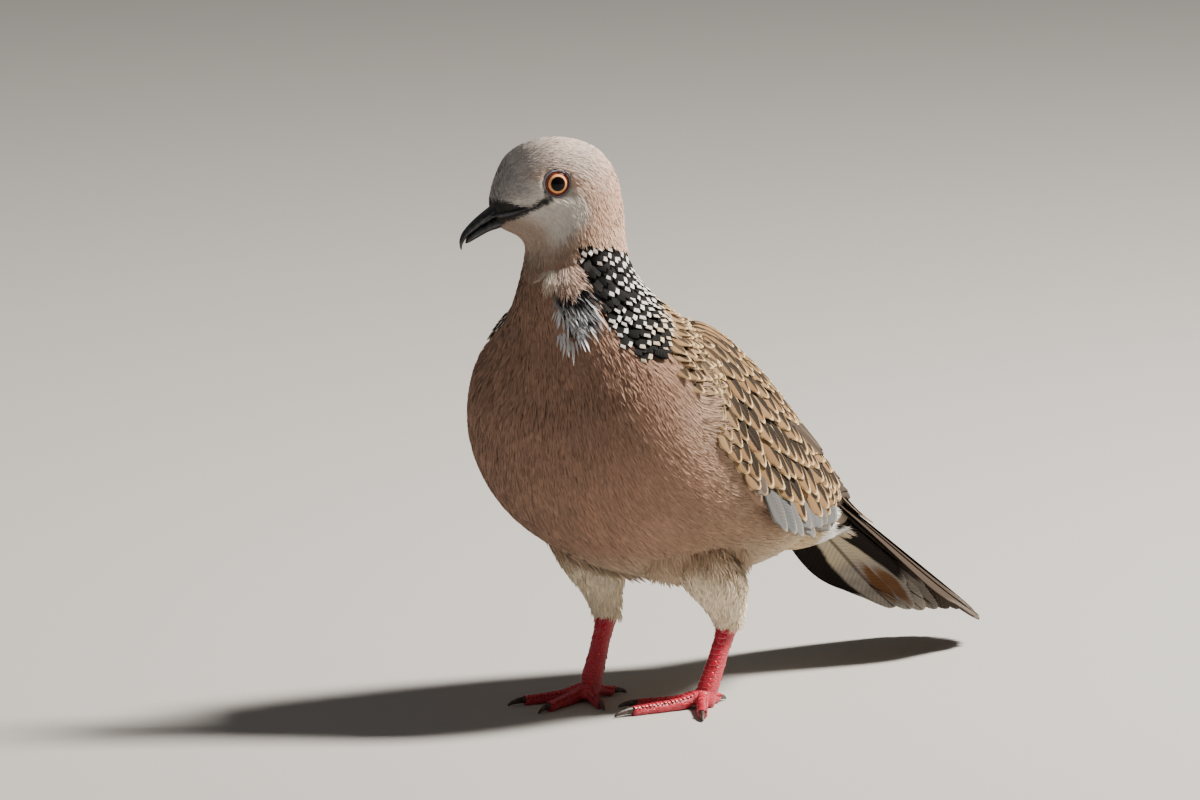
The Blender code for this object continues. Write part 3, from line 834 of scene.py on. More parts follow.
def set_finish(start, colour, roughness, height=None, depth=0.0002, **constants):
    """The material, with the colour, roughness and bump on its shader, and its constants set."""
    shader = start.tree.nodes["Principled BSDF"]
    links = {"Base Color": colour, "Roughness": roughness}
    if height is not None:
        links["Normal"] = start.node("ShaderNodeBump", {}, {"Height": height, "Distance": depth})
    for name, value in constants.items():
        links[name.replace("_", " ").title().replace("Ior", "IOR")] = value
    for name, value in links.items():
        plug(shader.inputs[name], value)
    return start.material


def noise(start, scale, detail=3.0, stretch=(1, 1, 1)):
    """Soft noise on the object's own coordinates, from 0 to 1."""
    place = start.node("ShaderNodeTexCoord", output="Object")
    mapped = start.node("ShaderNodeMapping", {}, {"Vector": place, "Scale": stretch})
    inputs = {"Vector": mapped, "Scale": scale, "Detail": detail}
    return start.node("ShaderNodeTexNoise", {}, inputs)


def value_of(start, name):
    """A number kept for each point of the piece."""
    return start.node("ShaderNodeAttribute", {"attribute_name": name}, output="Fac")


def tint_of(start):
    """The colour kept for each point of the piece."""
    return start.node("ShaderNodeAttribute", {"attribute_name": "tint"}, output="Color")


def vane_places(start):
    """On a feather: distance from the shaft (-1 to 1 across) and share of its length."""
    vane = start.node("ShaderNodeUVMap", {"uv_map": "Vane"})
    parts = start.node("ShaderNodeSeparateXYZ", {}, {0: vane}).socket.node
    across, reach = (Signal(start.tree, parts.outputs[number]) for number in (0, 1))
    return across * 2 - 1, reach


# ---- colours of the coat

PINK = (0.30, 0.178, 0.126)
BELLY = (0.31, 0.203, 0.13)
VENT = (0.56, 0.425, 0.262)
CREAM = (0.90, 0.79, 0.61)
CROWN = (0.66, 0.545, 0.48)
FLANK = (0.45, 0.322, 0.232)
FOREHEAD = (0.39, 0.37, 0.365)
CHEEK = (0.74, 0.69, 0.635)
CHIN = (0.45, 0.34, 0.272)
NAPE = (0.58, 0.385, 0.28)
MANTLE = (0.37, 0.25, 0.15)
RUMP = (0.205, 0.15, 0.104)
LORE = (0.018, 0.017, 0.018)
# The black lore from the eye to the bill, in the head's plane: ahead, middle's height, half height.
LORE_AHEAD = (45.4, 46.6, 48.3, 50.0, 52.0, 54.9, 57.0, 60.0)
LORE_UP = (146.6, 145.9, 144.9, 143.7, 142.7, 141.8, 141.4, 141.3)
LORE_HALF = (0.9, 1.1, 0.95, 0.8, 1.0, 2.0, 2.5, 2.8)
WING_BROWN = (0.25, 0.15, 0.072)
COVERT_GREY = (0.16, 0.161, 0.163)
FLIGHT_BROWN = (0.07, 0.052, 0.04)
# Black for the tufts in the gaps under the throat's ruffle: painted shade.
PAINTED_GAP_SHADE = (0.02, 0.02, 0.024)
THROAT_BUFF = (0.60, 0.45, 0.37)
THROAT_PALE = (0.80, 0.70, 0.60)
STRAND_GREY = (0.38, 0.385, 0.41)
STRAND_WHITE = (0.72, 0.71, 0.72)
SECONDARY_BROWN = (0.035, 0.028, 0.024)
TERTIAL_BROWN = (0.185, 0.122, 0.072)
SWEEP_BROWN = (0.375, 0.262, 0.16)
LEG_RED = (0.48, 0.016, 0.04)
# The markings, laid over pink in this order: colour, strength, the ends of a soft rise and of a
# soft fall along the stations, then of both round from the back, in radians.
MARKINGS = (
    (BELLY, 1.0, None, (2.8, 5.6), (1.3, 2.2), None),
    (VENT, 1.0, None, (0.6, 2.4), (1.55, 2.0), None),
    (FLANK, 0.6, (2.4, 3.8), (5.6, 7.2), (0.75, 1.1), (1.3, 1.9)),
    (MANTLE, 1.0, None, (7.2, 8.6), None, (0.95, 1.45)),
    (RUMP, 1.0, None, (1.6, 3.0), None, (1.3, 1.75)),
    (NAPE, 1.0, (9.5, 10.6), None, None, (1.3, 2.2)),
    (CHIN, 1.0, (11.6, 13.4), None, (1.3, 2.2), None),
    (CROWN, 1.0, (13.2, 16.2), None, None, (0.95, 1.45)),
    (CHEEK, 1.0, (12.9, 14.2), (19.5, 21.0), (1.25, 1.55), (2.0, 2.5)),
    (FOREHEAD, 1.0, (16.6, 19.2), None, None, (1.55, 1.85)),
)
# Cream shows through low on the belly, between these heights.
LOW_CREAM, LOW_FULL, LOW_END = 0.35, 35, 52
HEAD_START = 14


def mixed(first, second, mask):
    """The first colour where the mask is 0, the second where it is 1."""
    mask = np.asarray(mask, float)[..., None]
    return np.asarray(first) * (1 - mask) + np.asarray(second) * mask


def head_plane(points):
    """Ahead, up and distance aside in the turned head's own upright plane."""
    turn = math.radians(HEAD_TURN)
    x, y, z = np.moveaxis(points, -1, 0)
    reach = -x * math.sin(turn) - (y + NECK_PIVOT_AHEAD) * math.cos(turn)
    aside = x * math.cos(turn) - (y + NECK_PIVOT_AHEAD) * math.sin(turn)
    return NECK_PIVOT_AHEAD + reach, z, aside


def wrapped(angle):
    """The angle within half a turn of 0."""
    return (angle + math.pi) % (2 * math.pi) - math.pi


def band(value, rise, fall):
    """1 between a soft rise and a soft fall: the product of the smooth steps that are given."""
    risen = smooth_step(*rise, value) if rise else 1.0
    return risen * (1 - smooth_step(*fall, value) if fall else 1.0)


def body_colour(place, around, points):
    """The coat's markings: colours mixed in turn by soft bands along the stations and round from
    the back, and a black wedge from the bill to the eye in the head's own plane."""
    round_from_back = np.abs(wrapped(around))
    colour = PINK
    for marking, strength, rise, fall, side_rise, side_fall in MARKINGS:
        mask = band(place, rise, fall) * band(round_from_back, side_rise, side_fall)
        colour = mixed(colour, marking, strength * mask)
    low = (1 - smooth_step(LOW_FULL, LOW_END, points[..., 2])) * (place < 6)
    colour = mixed(colour, CREAM, LOW_CREAM * low)
    ahead, up, _ = head_plane(points)
    middle, half = np.interp(ahead, LORE_AHEAD, LORE_UP), np.interp(ahead, LORE_AHEAD, LORE_HALF)
    lore = 1 - smooth_step(half - 0.3, half + 0.3, np.abs(up - middle))
    lore = lore * smooth_step(LORE_AHEAD[0] - 0.6, LORE_AHEAD[0], ahead) * (place > HEAD_START)
    return mixed(colour, LORE, 0.95 * lore)


def varied(colour, seed, spread=0.05, count=None):
    """Each feather a little lighter or darker, and a little warmer or cooler, than its place's
    colour, or than one colour for a count of feathers."""
    colour = np.asarray(colour) if count is None else np.tile(colour, (count, 1))
    rng = np.random.default_rng(seed)
    tone = 1 + rng.normal(0, spread, (len(colour), 1))
    warmth = rng.normal(0, spread * 0.3, (len(colour), 1)) * np.array([1.0, 0.0, -1.0])
    return colour * (tone + warmth)


# ---- faces of the bird

BODY_FACE = Face(body_surface, (0.0, -1.1 * math.pi), (22.0, 1.1 * math.pi), 1)
WING_FACES = {
    name: Face(wing_surface(side), (-86.0, 0.015), (22.0, 1.0), side)
    for name, side in SIDES.items()
}
UNDERTAIL_FACE = Face(undertail_surface, (18.7, 0.0), (51.0, math.pi), 1)


def body_roots(first, last, spacing, seed, limits=(-math.pi, math.pi), looseness=0.5):
    """Staggered roots over the stations from first to last. The spacing (stations, distances) is
    between neighbours; rows are as far apart, by the mean length of the back, side and front."""
    line = np.linspace(first, last, 200)
    lengths = []
    for angle in (0.3, 1.6, 2.9):
        points = body_surface(line, np.full(200, angle))
        lengths.append(np.linalg.norm(np.diff(points, axis=0), axis=1))
    local = np.mean(lengths, axis=0) / np.interp(line[1:], *spacing)
    run = np.concatenate([[0], np.cumsum(local)])
    rows = np.interp(np.arange(0.5, run[-1]), run, line)
    return rows_of_roots(BODY_FACE, rows, spacing, limits, seed, looseness)


def in_neck_patch(place, around):
    """Where the neck is black with white spots: between an upper and a lower edge, which are
    cosines of the angle round from the hind neck, and behind a front edge."""
    angle = np.abs(wrapped(around))
    upper = 11.15 - 1.35 * np.cos(angle * 1.7)
    lower = 7.55 + 0.55 * np.cos(angle * 2.6) + 0.9 * smooth_step(1.45, 1.9, angle)
    return (place < upper) & (place > lower) & (angle < 1.86)


def beside_wing(points):
    """A band of the body round the folded wing's front, where feathers overlap it."""
    ahead = -points[..., 1]
    return under_wing(points, -5.0) & ~under_wing(points, 1.5) & (ahead > 4) & (ahead < 27)


def under_wing(points, margin):
    """Where the folded wing hides the body: within its outline in side view, less a margin."""
    ahead, up = -points[..., 1], points[..., 2]
    _, _, top_up, low, low_up, _ = columns_at(WING, ahead)
    inside = (up < top_up - 0.35 * margin) & (up > low_up + margin) & (ahead < 22 - margin)
    return inside & (ahead > -84) & (np.abs(points[..., 0]) > 0.4 * low)


# ---- skin

SKIN_VOXEL = 0.75
# How far the wing's upper front corner sinks into the back, and how far below their outlines the
# wings' and thighs' flesh lies.
BEND_DROP = 2.5
WING_SKIN_DEPTH = 1.5
THIGH_SKIN_DEPTH = ((0, 4, 6), (1.8, 1.4, 0.3))
SHANK_SKIN = 0.35
# A socket's rim and edge, from the eye's axis, and how far aside the skin may reach at each.
SOCKET_RIM, SOCKET_EDGE = 3.4, 5.4
RIM_ASIDE, EDGE_ASIDE = 8.4, 12.5
TIBIA_FACES = {
    name: Face(tibia_surface(leg), (0.0, -0.5), (6.0, 2 * math.pi + 0.5), 1, (half, 0.0, 0.5, 1.0))
    for (name, leg), half in zip(LEGS.items(), (0.0, 0.5))
}


def coat_depth(place):
    """How far the skin lies inside the coat's outline at a station, in millimetres."""
    return np.interp(place, (0, 2, 8, 12, 15, 20, 22), (2.0, 2.4, 2.0, 1.4, 0.8, 0.6, 0.3))


def sunk(face, u, v, depth):
    """Points of a face moved inwards by the depth."""
    normal = face.frame(u, v)[2]
    return face.surface(u, v) - normal * np.asarray(depth)[..., None]


def bend_drop(ahead, share):
    """How far the wing's upper front corner sinks to meet the back, from 0 to 1."""
    return smooth_step(0, 14, ahead) * (1 - smooth_step(0.1, 0.5, share))


def wing_flesh(name):
    """The wing's flesh: its outer face sunk below the coverts, and its inner face in the body."""
    rows, columns = 60, 24
    u, v = grid(np.linspace(19, -66, rows), np.linspace(0.06, 0.94, columns))
    thick = columns_at(WING, u)[5]
    outer, inner = (
        sunk(WING_FACES[name], u, v, WING_SKIN_DEPTH + depth).reshape(rows, columns, 3)
        for depth in (BEND_DROP * bend_drop(u, v), thick)
    )
    return tube(np.concatenate([outer, inner[:, ::-1]], axis=1))


def leg_line(leg):
    """The ankle, the top of the foot, and the foot's centre on the ground."""
    left, ahead, up = leg["ankle"]
    foot_left, foot_ahead = leg["foot"]
    ankle = np.array([left, -ahead, up])
    foot = np.array([foot_left, -foot_ahead, 0.0])
    return ankle, foot + (ankle - foot) * (FOOT_HEIGHT / up), foot


def shank_size(share):
    """Radii of the shank across and along: a knuckle at the ankle as a bell curve, and a lower
    end that widens as the fourth power."""
    knuckle, lower = 0.75 * np.exp(-((share / 0.16) ** 2)), 0.45 * share**4
    across, along_body = SHANK_ACROSS + SHANK_SKIN, SHANK_ALONG + SHANK_SKIN
    return across + knuckle + lower, along_body + 0.5 * knuckle + lower


def toe_line(leg, toe, reaches):
    """Centres and radii along a toe: it tapers, and sinks to the ground as a bell curve."""
    angle = math.radians(leg["toes"][toe])
    left, ahead = leg["foot"]
    share = reaches / TOE_LENGTH[toe]
    radius = TOE_WIDTH + (TOE_TIP_WIDTH - TOE_WIDTH) * share
    height = radius - SOLE_CUT + 1.6 * np.exp(-((reaches / 5.0) ** 2))
    x = left - leg["side"] * math.sin(angle) * reaches
    return np.stack([x, -ahead - reaches * math.cos(angle), height], axis=1), radius


SHANK_INSET, TOE_INSET = 0.1, 0.05
PILLAR_WIDTH, PILLAR_SWELL = 2.6, 0.6
JOINT_SWELL, JOINTS, HIND_JOINTS = 0.12, 3.2, 2


def leg_solids(leg):
    """The bare leg: shank, the pillar where the toes meet, and the toes, whose joints swell and
    thin by a cosine along them."""
    ankle, top, foot = leg_line(leg)
    share = np.linspace(-0.12, 1.1, 24)
    across, along_path = shank_size(np.clip(share, 0, 1))
    centres = ankle + share[:, None] * (top - ankle)
    rings = tube_rings(centres, across - SHANK_INSET, along_path - SHANK_INSET, 20, AHEAD)
    solids = [tube(rings)]
    share = np.linspace(0.06, 1, 10)
    width = PILLAR_WIDTH + PILLAR_SWELL * np.sin(math.pi * np.minimum(share + 0.25, 1))
    pillar = foot + share[:, None] * (top - foot)
    solids.append(tube(tube_rings(pillar, width, width, 20, AHEAD)))
    for toe, length in TOE_LENGTH.items():
        reaches = np.linspace(0, length, 30)
        centres, radius = toe_line(leg, toe, reaches)
        waves = HIND_JOINTS if toe == "hind" else JOINTS
        joints = JOINT_SWELL * np.cos(reaches / length * 2 * math.pi * waves)
        radius = radius - TOE_INSET
        solids.append(tube(tube_rings(centres, radius + joints, radius, 16, UP)))
    return solids


def trunk_flesh():
    """The body's rings, sunk below the coat's outline by the coat's depth."""
    angles = np.linspace(-math.pi, math.pi, 96, endpoint=False)
    places = np.concatenate([np.linspace(0.0, 12, 90), np.linspace(12.1, 21.9, 60)])
    u, v = grid(places, angles)
    return tube(sunk(BODY_FACE, u, v, coat_depth(u)).reshape(len(places), len(angles), 3))


def thigh_flesh(name):
    """A feathered leg's ovals, sunk by a depth that thins towards the ankle."""
    u, v = grid(np.linspace(0, 6, 40), circle(40))
    depth = np.interp(u, *THIGH_SKIN_DEPTH)
    return tube(sunk(TIBIA_FACES[name], u, v, depth).reshape(40, 40, 3))


def undertail_flesh():
    """Half ovals under the tail's root, inside its feathers, with a nearly flat upper side."""
    reach = np.linspace(12, 44, 20)
    _, deep, half = columns_at(UNDERTAIL, reach)[:, :, None]
    angle = circle(40)
    fold = np.where(np.sin(angle) > 0, 1.0, 0.05)
    rise = -2.2 - (deep - 3.5) * np.sin(angle) * fold
    return tube(on_tail(reach[:, None], -(half - 2.5) * np.cos(angle), rise))


def grown_together(skin):
    """Closed skins made one mesh by voxels, then eased. Its points are given in millimetres."""
    remesh = skin.modifiers.new("one_skin", "REMESH")
    remesh.mode = "VOXEL"
    remesh.voxel_size = SKIN_VOXEL * MM
    remesh.use_smooth_shade = True
    ease = skin.modifiers.new("ease", "SMOOTH")
    ease.factor, ease.iterations = 0.5, 4
    graph = bpy.context.evaluated_depsgraph_get()
    mesh = bpy.data.meshes.new_from_object(skin.evaluated_get(graph))
    skin.modifiers.clear()
    skin.data = mesh
    points = np.empty(len(mesh.vertices) * 3, np.float32)
    mesh.vertices.foreach_get("co", points)
    return mesh, (points.reshape(-1, 3) - SHIFT) / MM


def make_skin(material):
    """The skin: body, wing and thigh skins sunk below the coat, with the bare legs, grown into one
    by voxels. Its sockets are pressed in behind the eyes, and its soles are level."""
    solids = [trunk_flesh()]
    for name, leg in LEGS.items():
        solids += [thigh_flesh(name), *leg_solids(leg), wing_flesh(name)]
    solids.append(undertail_flesh())
    skin = solids_joined("skin", solids)
    mesh, points = grown_together(skin)
    points = pressed_sockets(points)
    points[:, 2] = np.maximum(points[:, 2], 0.02)
    put_points(mesh, points)
    mesh.update()
    add_values(mesh, "tint", skin_colour(points))
    add_values(mesh, "bare", 1 - smooth_step(24.5, 27.0, points[:, 2]))
    nodes = ["head", "neck", "trunk"]
    for name in SIDES:
        nodes += [f"thigh_{name}", f"shank_{name}", f"foot_{name}"]
    return finished(skin, material, "body_plumage", *nodes)


def pressed_sockets(points):
    """Within a ring round each eye's axis, the skin sinks behind the ball by a smooth step."""
    ahead, up, aside = head_plane(points)
    off = np.hypot(ahead - EYE_AHEAD, up - EYE_UP)
    most = RIM_ASIDE + (EDGE_ASIDE - RIM_ASIDE) * smooth_step(SOCKET_RIM, SOCKET_EDGE, off)
    most = np.where(off < SOCKET_EDGE, most, np.inf)
    sunk_aside = np.sign(aside) * np.minimum(np.abs(aside), most)
    return points + (sunk_aside - aside)[:, None] * (head_point(0, 0, 1) - head_point(0, 0, 0))


def body_place(points):
    """Station and angle of the body's nearest point, from a coarse grid of the body."""
    places, angles = np.linspace(0, 22, 67), np.linspace(-math.pi, math.pi, 48, endpoint=False)
    u, v = grid(places, angles)
    known = body_surface(u, v)
    nearest = []
    for part in np.array_split(points, max(1, len(points) // 4000)):
        gaps = (known**2).sum(1)[None] - 2 * part @ known.T
        nearest.append(gaps.argmin(axis=1))
    nearest = np.concatenate(nearest)
    return u[nearest], v[nearest]


def skin_colour(points):
    """The coat's own markings on the skin under it, cream on the thighs, red on the bare legs."""
    place, around = body_place(points)
    colour = body_colour(place, around, points) * 0.8
    patch = in_neck_patch(place, around)
    colour = np.where(patch[:, None], (0.02, 0.018, 0.018), colour)
    colour = mixed(colour, CREAM, 1 - smooth_step(33, 42, points[:, 2]))
    return mixed(colour, LEG_RED, 1 - smooth_step(24.0, 25.5, points[:, 2]))


# ---- the body's coat

# Feathers' lengths, widths and spacing in millimetres, each against a place on the bird.
HEAD_LENGTH = ((12, 14, 16, 19, 22), (4.4, 3.4, 2.7, 2.3, 1.6))
HEAD_SPACING = ((12, 14, 16, 19, 22), (0.85, 0.74, 0.62, 0.55, 0.5))
BODY_LENGTH = ((0, 4, 7, 9, 12.4), (11.5, 9.5, 8.0, 6.6, 4.6))
BODY_SPACING = ((0, 4, 7, 9, 12.4), (1.6, 1.42, 1.32, 1.1, 0.85))
BACK_LENGTH = ((0, 4, 7.6), (13.0, 10.5, 7.0))
BACK_WIDTH = ((0, 4, 7.6), (8.0, 6.6, 4.8))
BACK_SPACING = ((0, 3, 5, 7.6), (4.6, 4.2, 3.6, 2.7))
COLLAR_LENGTH = ((7, 12.6), (6.8, 5.8))
SCAPULAR_LENGTH, SCAPULAR_WIDTH = 11.5, 5.8
# Parts of the body, by angle from the back.
ALL_ROUND, OFF_BACK, FRONT, BACK = (-1.0, math.pi), (1.35, math.pi), (1.25, math.pi), (-1.0, 1.35)
EYE_CLEARANCE = 4.35
FINE_TUFT = tuft_form(11, spread=0.5, barb_width=0.055)


def coat_roots(first, last, spacing, seed, part=ALL_ROUND, whole_from=22.0,
               limits=(-math.pi, math.pi)):
    """Roots on a part of the body, all round it from a station on, away from the folded wings and
    the black patch of the neck. Four places along each feather keep clear of the eye."""
    u, v = body_roots(first, last, spacing, seed, limits)
    points = body_surface(u, v)
    ahead, up, _ = head_plane(points)
    angle = np.abs(wrapped(v))
    wanted = (angle > part[0]) & (angle <= part[1]) | (u > whole_from)
    for share in (0.0, 0.35, 0.7, 1.0):
        run = share * np.interp(u, *HEAD_LENGTH)
        off = np.hypot(ahead - 0.96 * run - EYE_AHEAD, up - 0.22 * run - EYE_UP)
        wanted &= (off > EYE_CLEARANCE) | (u < 13)
    margin = np.interp(-points[:, 1], (-62, -42), (0.3, 5.0))
    wanted &= ~under_wing(points, margin) & ~in_neck_patch(u, v)
    return kept(wanted, u, v)


def soft_coat(roots, lengths, width_share, form, seed, **how):
    """Tufts on the body, their length by station, in the coat's colours."""
    u, v = roots
    tint = varied(body_colour(u, v, body_surface(u, v)), seed)
    length = np.interp(u, *lengths) * np.random.default_rng(seed).uniform(0.85, 1.15, len(u))
    return lay_tufts(BODY_FACE, roots, length, length * width_share, tint, seed, form,
                     depth=coat_depth(u), **how)


def fine_coat(name, first, last, part, seeds, material, *nodes):
    """One piece of fine strands between two stations of the body. The seeds are for the roots and
    for the tufts."""
    roots = coat_roots(first, last, BODY_SPACING, seeds[0], part)
    layers = [soft_coat(roots, BODY_LENGTH, 0.6, FINE_TUFT, seeds[1], root_shade=0.9)]
    return coat_piece(name, layers, material, "body_plumage", *nodes)


def make_head_coat(material):
    """The head's small soft feathers, from the bill back to the nape."""
    roots = coat_roots(12.2, 21.9, HEAD_SPACING, 11)
    form = tuft_form(6, spread=0.5, barb_width=0.1, rows=(0.0, 0.5))
    layers = [soft_coat(roots, HEAD_LENGTH, 0.55, form, 12, proud=0.12, sway=0.08, rough=0.35,
                        root_shade=0.86, barb_tone=0.07)]
    return coat_piece("head_coat", layers, material, "body_plumage", "head")


def make_neck_coat(material):
    """The throat, the sides of the neck, and the ruffled tufts at the foot of the throat."""
    form = tuft_form(7, spread=0.5, barb_width=0.1)
    roots = coat_roots(7.2, 12.4, BODY_SPACING, 21, OFF_BACK, whole_from=9.2)
    layers = [soft_coat(roots, BODY_LENGTH, 0.55, form, 22, root_shade=0.9)]
    layers += ruffle()
    return coat_piece("neck_coat", layers, material, "neck_plumage", "neck")


def ruffle():
    """The ruffled feathers at the left of the throat: two raised buff tufts, and below them long
    blue-grey strands that hang over black tufts, which are painted shade for the dark gaps between
    the feathers. Their roots lie at random in a range of stations and of angles round from the
    back."""
    rng = np.random.default_rng(23)
    form = tuft_form(9, spread=0.5, barb_width=0.06)
    soft = tuft_form(13, spread=0.5, barb_width=0.05)
    thin = tuft_form(4, spread=0.42, barb_width=0.09)
    # Number, stations, angles, lengths, colour, rise, form, seed, shade of the roots, roughness.
    clumps = (
        # The first clump is black tufts that stand for the dark gaps: painted shade.
        (110, (9.6, 11.4), (1.92, 2.4), (5.0, 8.0), PAINTED_GAP_SHADE, 0.5, form, 221, 0.5, 1.6),
        (60, (11.0, 11.9), (1.98, 2.25), (6.5, 8.5), THROAT_BUFF, 2.5, soft, 222, 0.85, 0.8),
        (26, (11.2, 12.0), (2.32, 2.46), (5.0, 7.0), THROAT_PALE, 2.2, soft, 223, 0.9, 0.8),
        (30, (9.7, 10.8), (2.0, 2.42), (8.0, 13.0), STRAND_GREY, 1.2, thin, 224, 0.7, 1.6),
        (20, (9.2, 10.3), (2.25, 2.55), (6.0, 10.0), STRAND_WHITE, 1.5, thin, 225, 0.8, 1.6),
    )
    layers = []
    for count, places, angles, lengths, colour, proud, shape, seed, shade, rough in clumps:
        roots = rng.uniform(*places, count), rng.uniform(*angles, count)
        length = rng.uniform(*lengths, count)
        tint = varied(colour, seed, 0.1, count)
        layers.append(
            lay_tufts(BODY_FACE, roots, length, length * 0.42, tint, seed, shape, depth=1.2,
                      proud=proud, yaw=0.22, curl=0.5, root_shade=shade, rough=rough)
        )
    return layers


def make_back_coat(material):
    """Mantle, back and rump: firmer feathers with dark wedges and pale edges, plain on the rump,
    and over the front of each folded wing a layer of scapulars."""
    form = vane_form(9, 9, waist=0.6, blunt=0.55, roundness=0.34)
    same = dict(yaw=0.1, thickness=0.15, patch_size=0.006)
    layers = []
    for side in SIDES.values():
        limits = (0.0, 1.5) if side > 0 else (-1.5, 0.0)
        u, v = coat_roots(0.0, 7.7, BACK_SPACING, 41, BACK, limits=limits)
        rump = 1 - smooth_step(1.2, 3.0, u)
        nape = smooth_step(6.8, 7.9, u)
        tint = mixed(mixed(WING_BROWN, MANTLE, 0.35 + 0.65 * nape), RUMP, 0.8 * rump)
        layers.append(
            lay_vanes(BODY_FACE, (u, v), np.interp(u, *BACK_LENGTH), np.interp(u, *BACK_WIDTH),
                      varied(tint, 42, 0.08), 43, form, depth=coat_depth(u),
                      proud=0.3 + 1.3 * (smooth_step(5, 6.2, u) - nape),
                      mark=0.9 * (1 - rump) * (1 - 0.85 * nape),
                      edge=0.9 - 0.5 * nape - 0.4 * rump, mirror=side, **same)
        )
        u, v = body_roots(4.2, 6.6, ((4, 7), (3.2, 2.8)), 47, limits)
        u, v = kept(beside_wing(body_surface(u, v)) & (np.abs(v) < 1.3), u, v)
        tint = varied(mixed(WING_BROWN, MANTLE, 0.6), 48, 0.08, len(u))
        layers.append(
            lay_vanes(BODY_FACE, (u, v), SCAPULAR_LENGTH, SCAPULAR_WIDTH, tint, 49, form,
                      depth=coat_depth(u), proud=2.1, mark=0.9, edge=0.7, mirror=side, **same)
        )
    return coat_piece("back_coat", layers, material, "wing_plumage")


def make_flank_sweep(material):
    """Fine pale strands of the breast and flank that lie over the front of the folded wing."""
    form = tuft_form(11, spread=0.5, barb_width=0.05)
    u, v = body_roots(3.2, 6.8, ((3, 7), (1.5, 1.3)), 51)
    points = body_surface(u, v)
    u, v, points = kept(beside_wing(points) & (np.abs(v) > 1.28), u, v, points)
    tint = mixed(body_colour(u, v, points), FLANK, 0.4)
    tint = mixed(tint, SWEEP_BROWN, 1 - smooth_step(1.1, 1.4, np.abs(v)))
    length = np.random.default_rng(52).uniform(6.5, 9.0, len(u))
    proud = np.interp(points[:, 2], (78, 88, 98), (1.2, 1.9, 1.7))
    layers = [lay_tufts(BODY_FACE, (u, v), length, length * 0.55, varied(tint, 53), 54, form,
                        depth=coat_depth(u), proud=proud, lie=along((0, 0.95, -0.2)), yaw=0.12,
                        root_shade=0.95)]
    return coat_piece("flank_coat", layers, material, "body_plumage")


# ---- the neck's spotted patch


def make_neck_patch(material):
    """The black collar: rows of notched feathers, each with two pale spots at its tip."""
    form = vane_form(9, 11, waist=0.7, blunt=0.72, roundness=0.2, notch=0.2)
    u, v = body_roots(7.0, 12.6, ((7, 12.6), (3.25, 2.9)), 61, (-1.95, 1.95), looseness=0.35)
    u, v = kept(in_neck_patch(u - 0.25, v), u, v)
    tint = mixed((0.80, 0.64, 0.46), (0.95, 0.91, 0.87), smooth_step(7.7, 8.5, u))
    tint = mixed(tint, (0.90, 0.80, 0.75), smooth_step(10.8, 11.8, u))
    length = np.interp(u, *COLLAR_LENGTH)
    chance = np.random.default_rng(64).uniform(0, 1, len(u))
    plain = smooth_step(1.2, 1.6, np.abs(v)) * band(u, (9.0, 9.6), (11.3, 11.9))
    spots = 1.0 * (chance > 0.08 + 0.85 * plain)
    layers = [
        lay_vanes(BODY_FACE, (u, v), length, length * 0.78, varied(tint, 62, 0.03), 63, form,
                  depth=coat_depth(u), proud=0.35, camber=0.1, mark=spots, patch_size=0.006,
                  yaw=0.13, thickness=0.1)
    ]
    return coat_piece("neck_patch", layers, material, "neck_plumage")


# ---- wings

WING_LENGTH = ((0.0, 0.4, 0.8), (9.0, 12.5, 16.5))
WING_WIDTH = ((0.0, 0.4, 0.8), (5.0, 6.6, 7.8))
WING_SPACING = ((0.03, 0.4, 0.8), (3.7, 4.7, 5.5))
GREY_ROW = 0.83


def wing_slope(ahead):
    """How steeply the coverts point down: steepest at the front, flatter towards the tip."""
    return np.radians(np.interp(ahead, (-60, -20, 20), (33, 50, 58)))


def wing_lie(along_u, points):
    """Back and down over the wing."""
    slope = wing_slope(-points[..., 1])
    return np.stack([0 * slope, np.cos(slope), -np.sin(slope)], axis=-1)


def room_below(ahead, up):
    """How far a feather can run along the wing's lie before it crosses the wing's lower edge."""
    steps = np.linspace(0, 60, 121)
    slope = wing_slope(ahead)[:, None]
    along_ahead = ahead[:, None] - steps * np.cos(slope)
    along_up = up[:, None] - steps * np.sin(slope)
    edge = columns_at(WING, along_ahead)[4]
    crossed = (along_up < edge - 0.6) | (along_ahead < -85)
    crossed[:, -1] = True
    return steps[np.argmax(crossed, axis=1)]


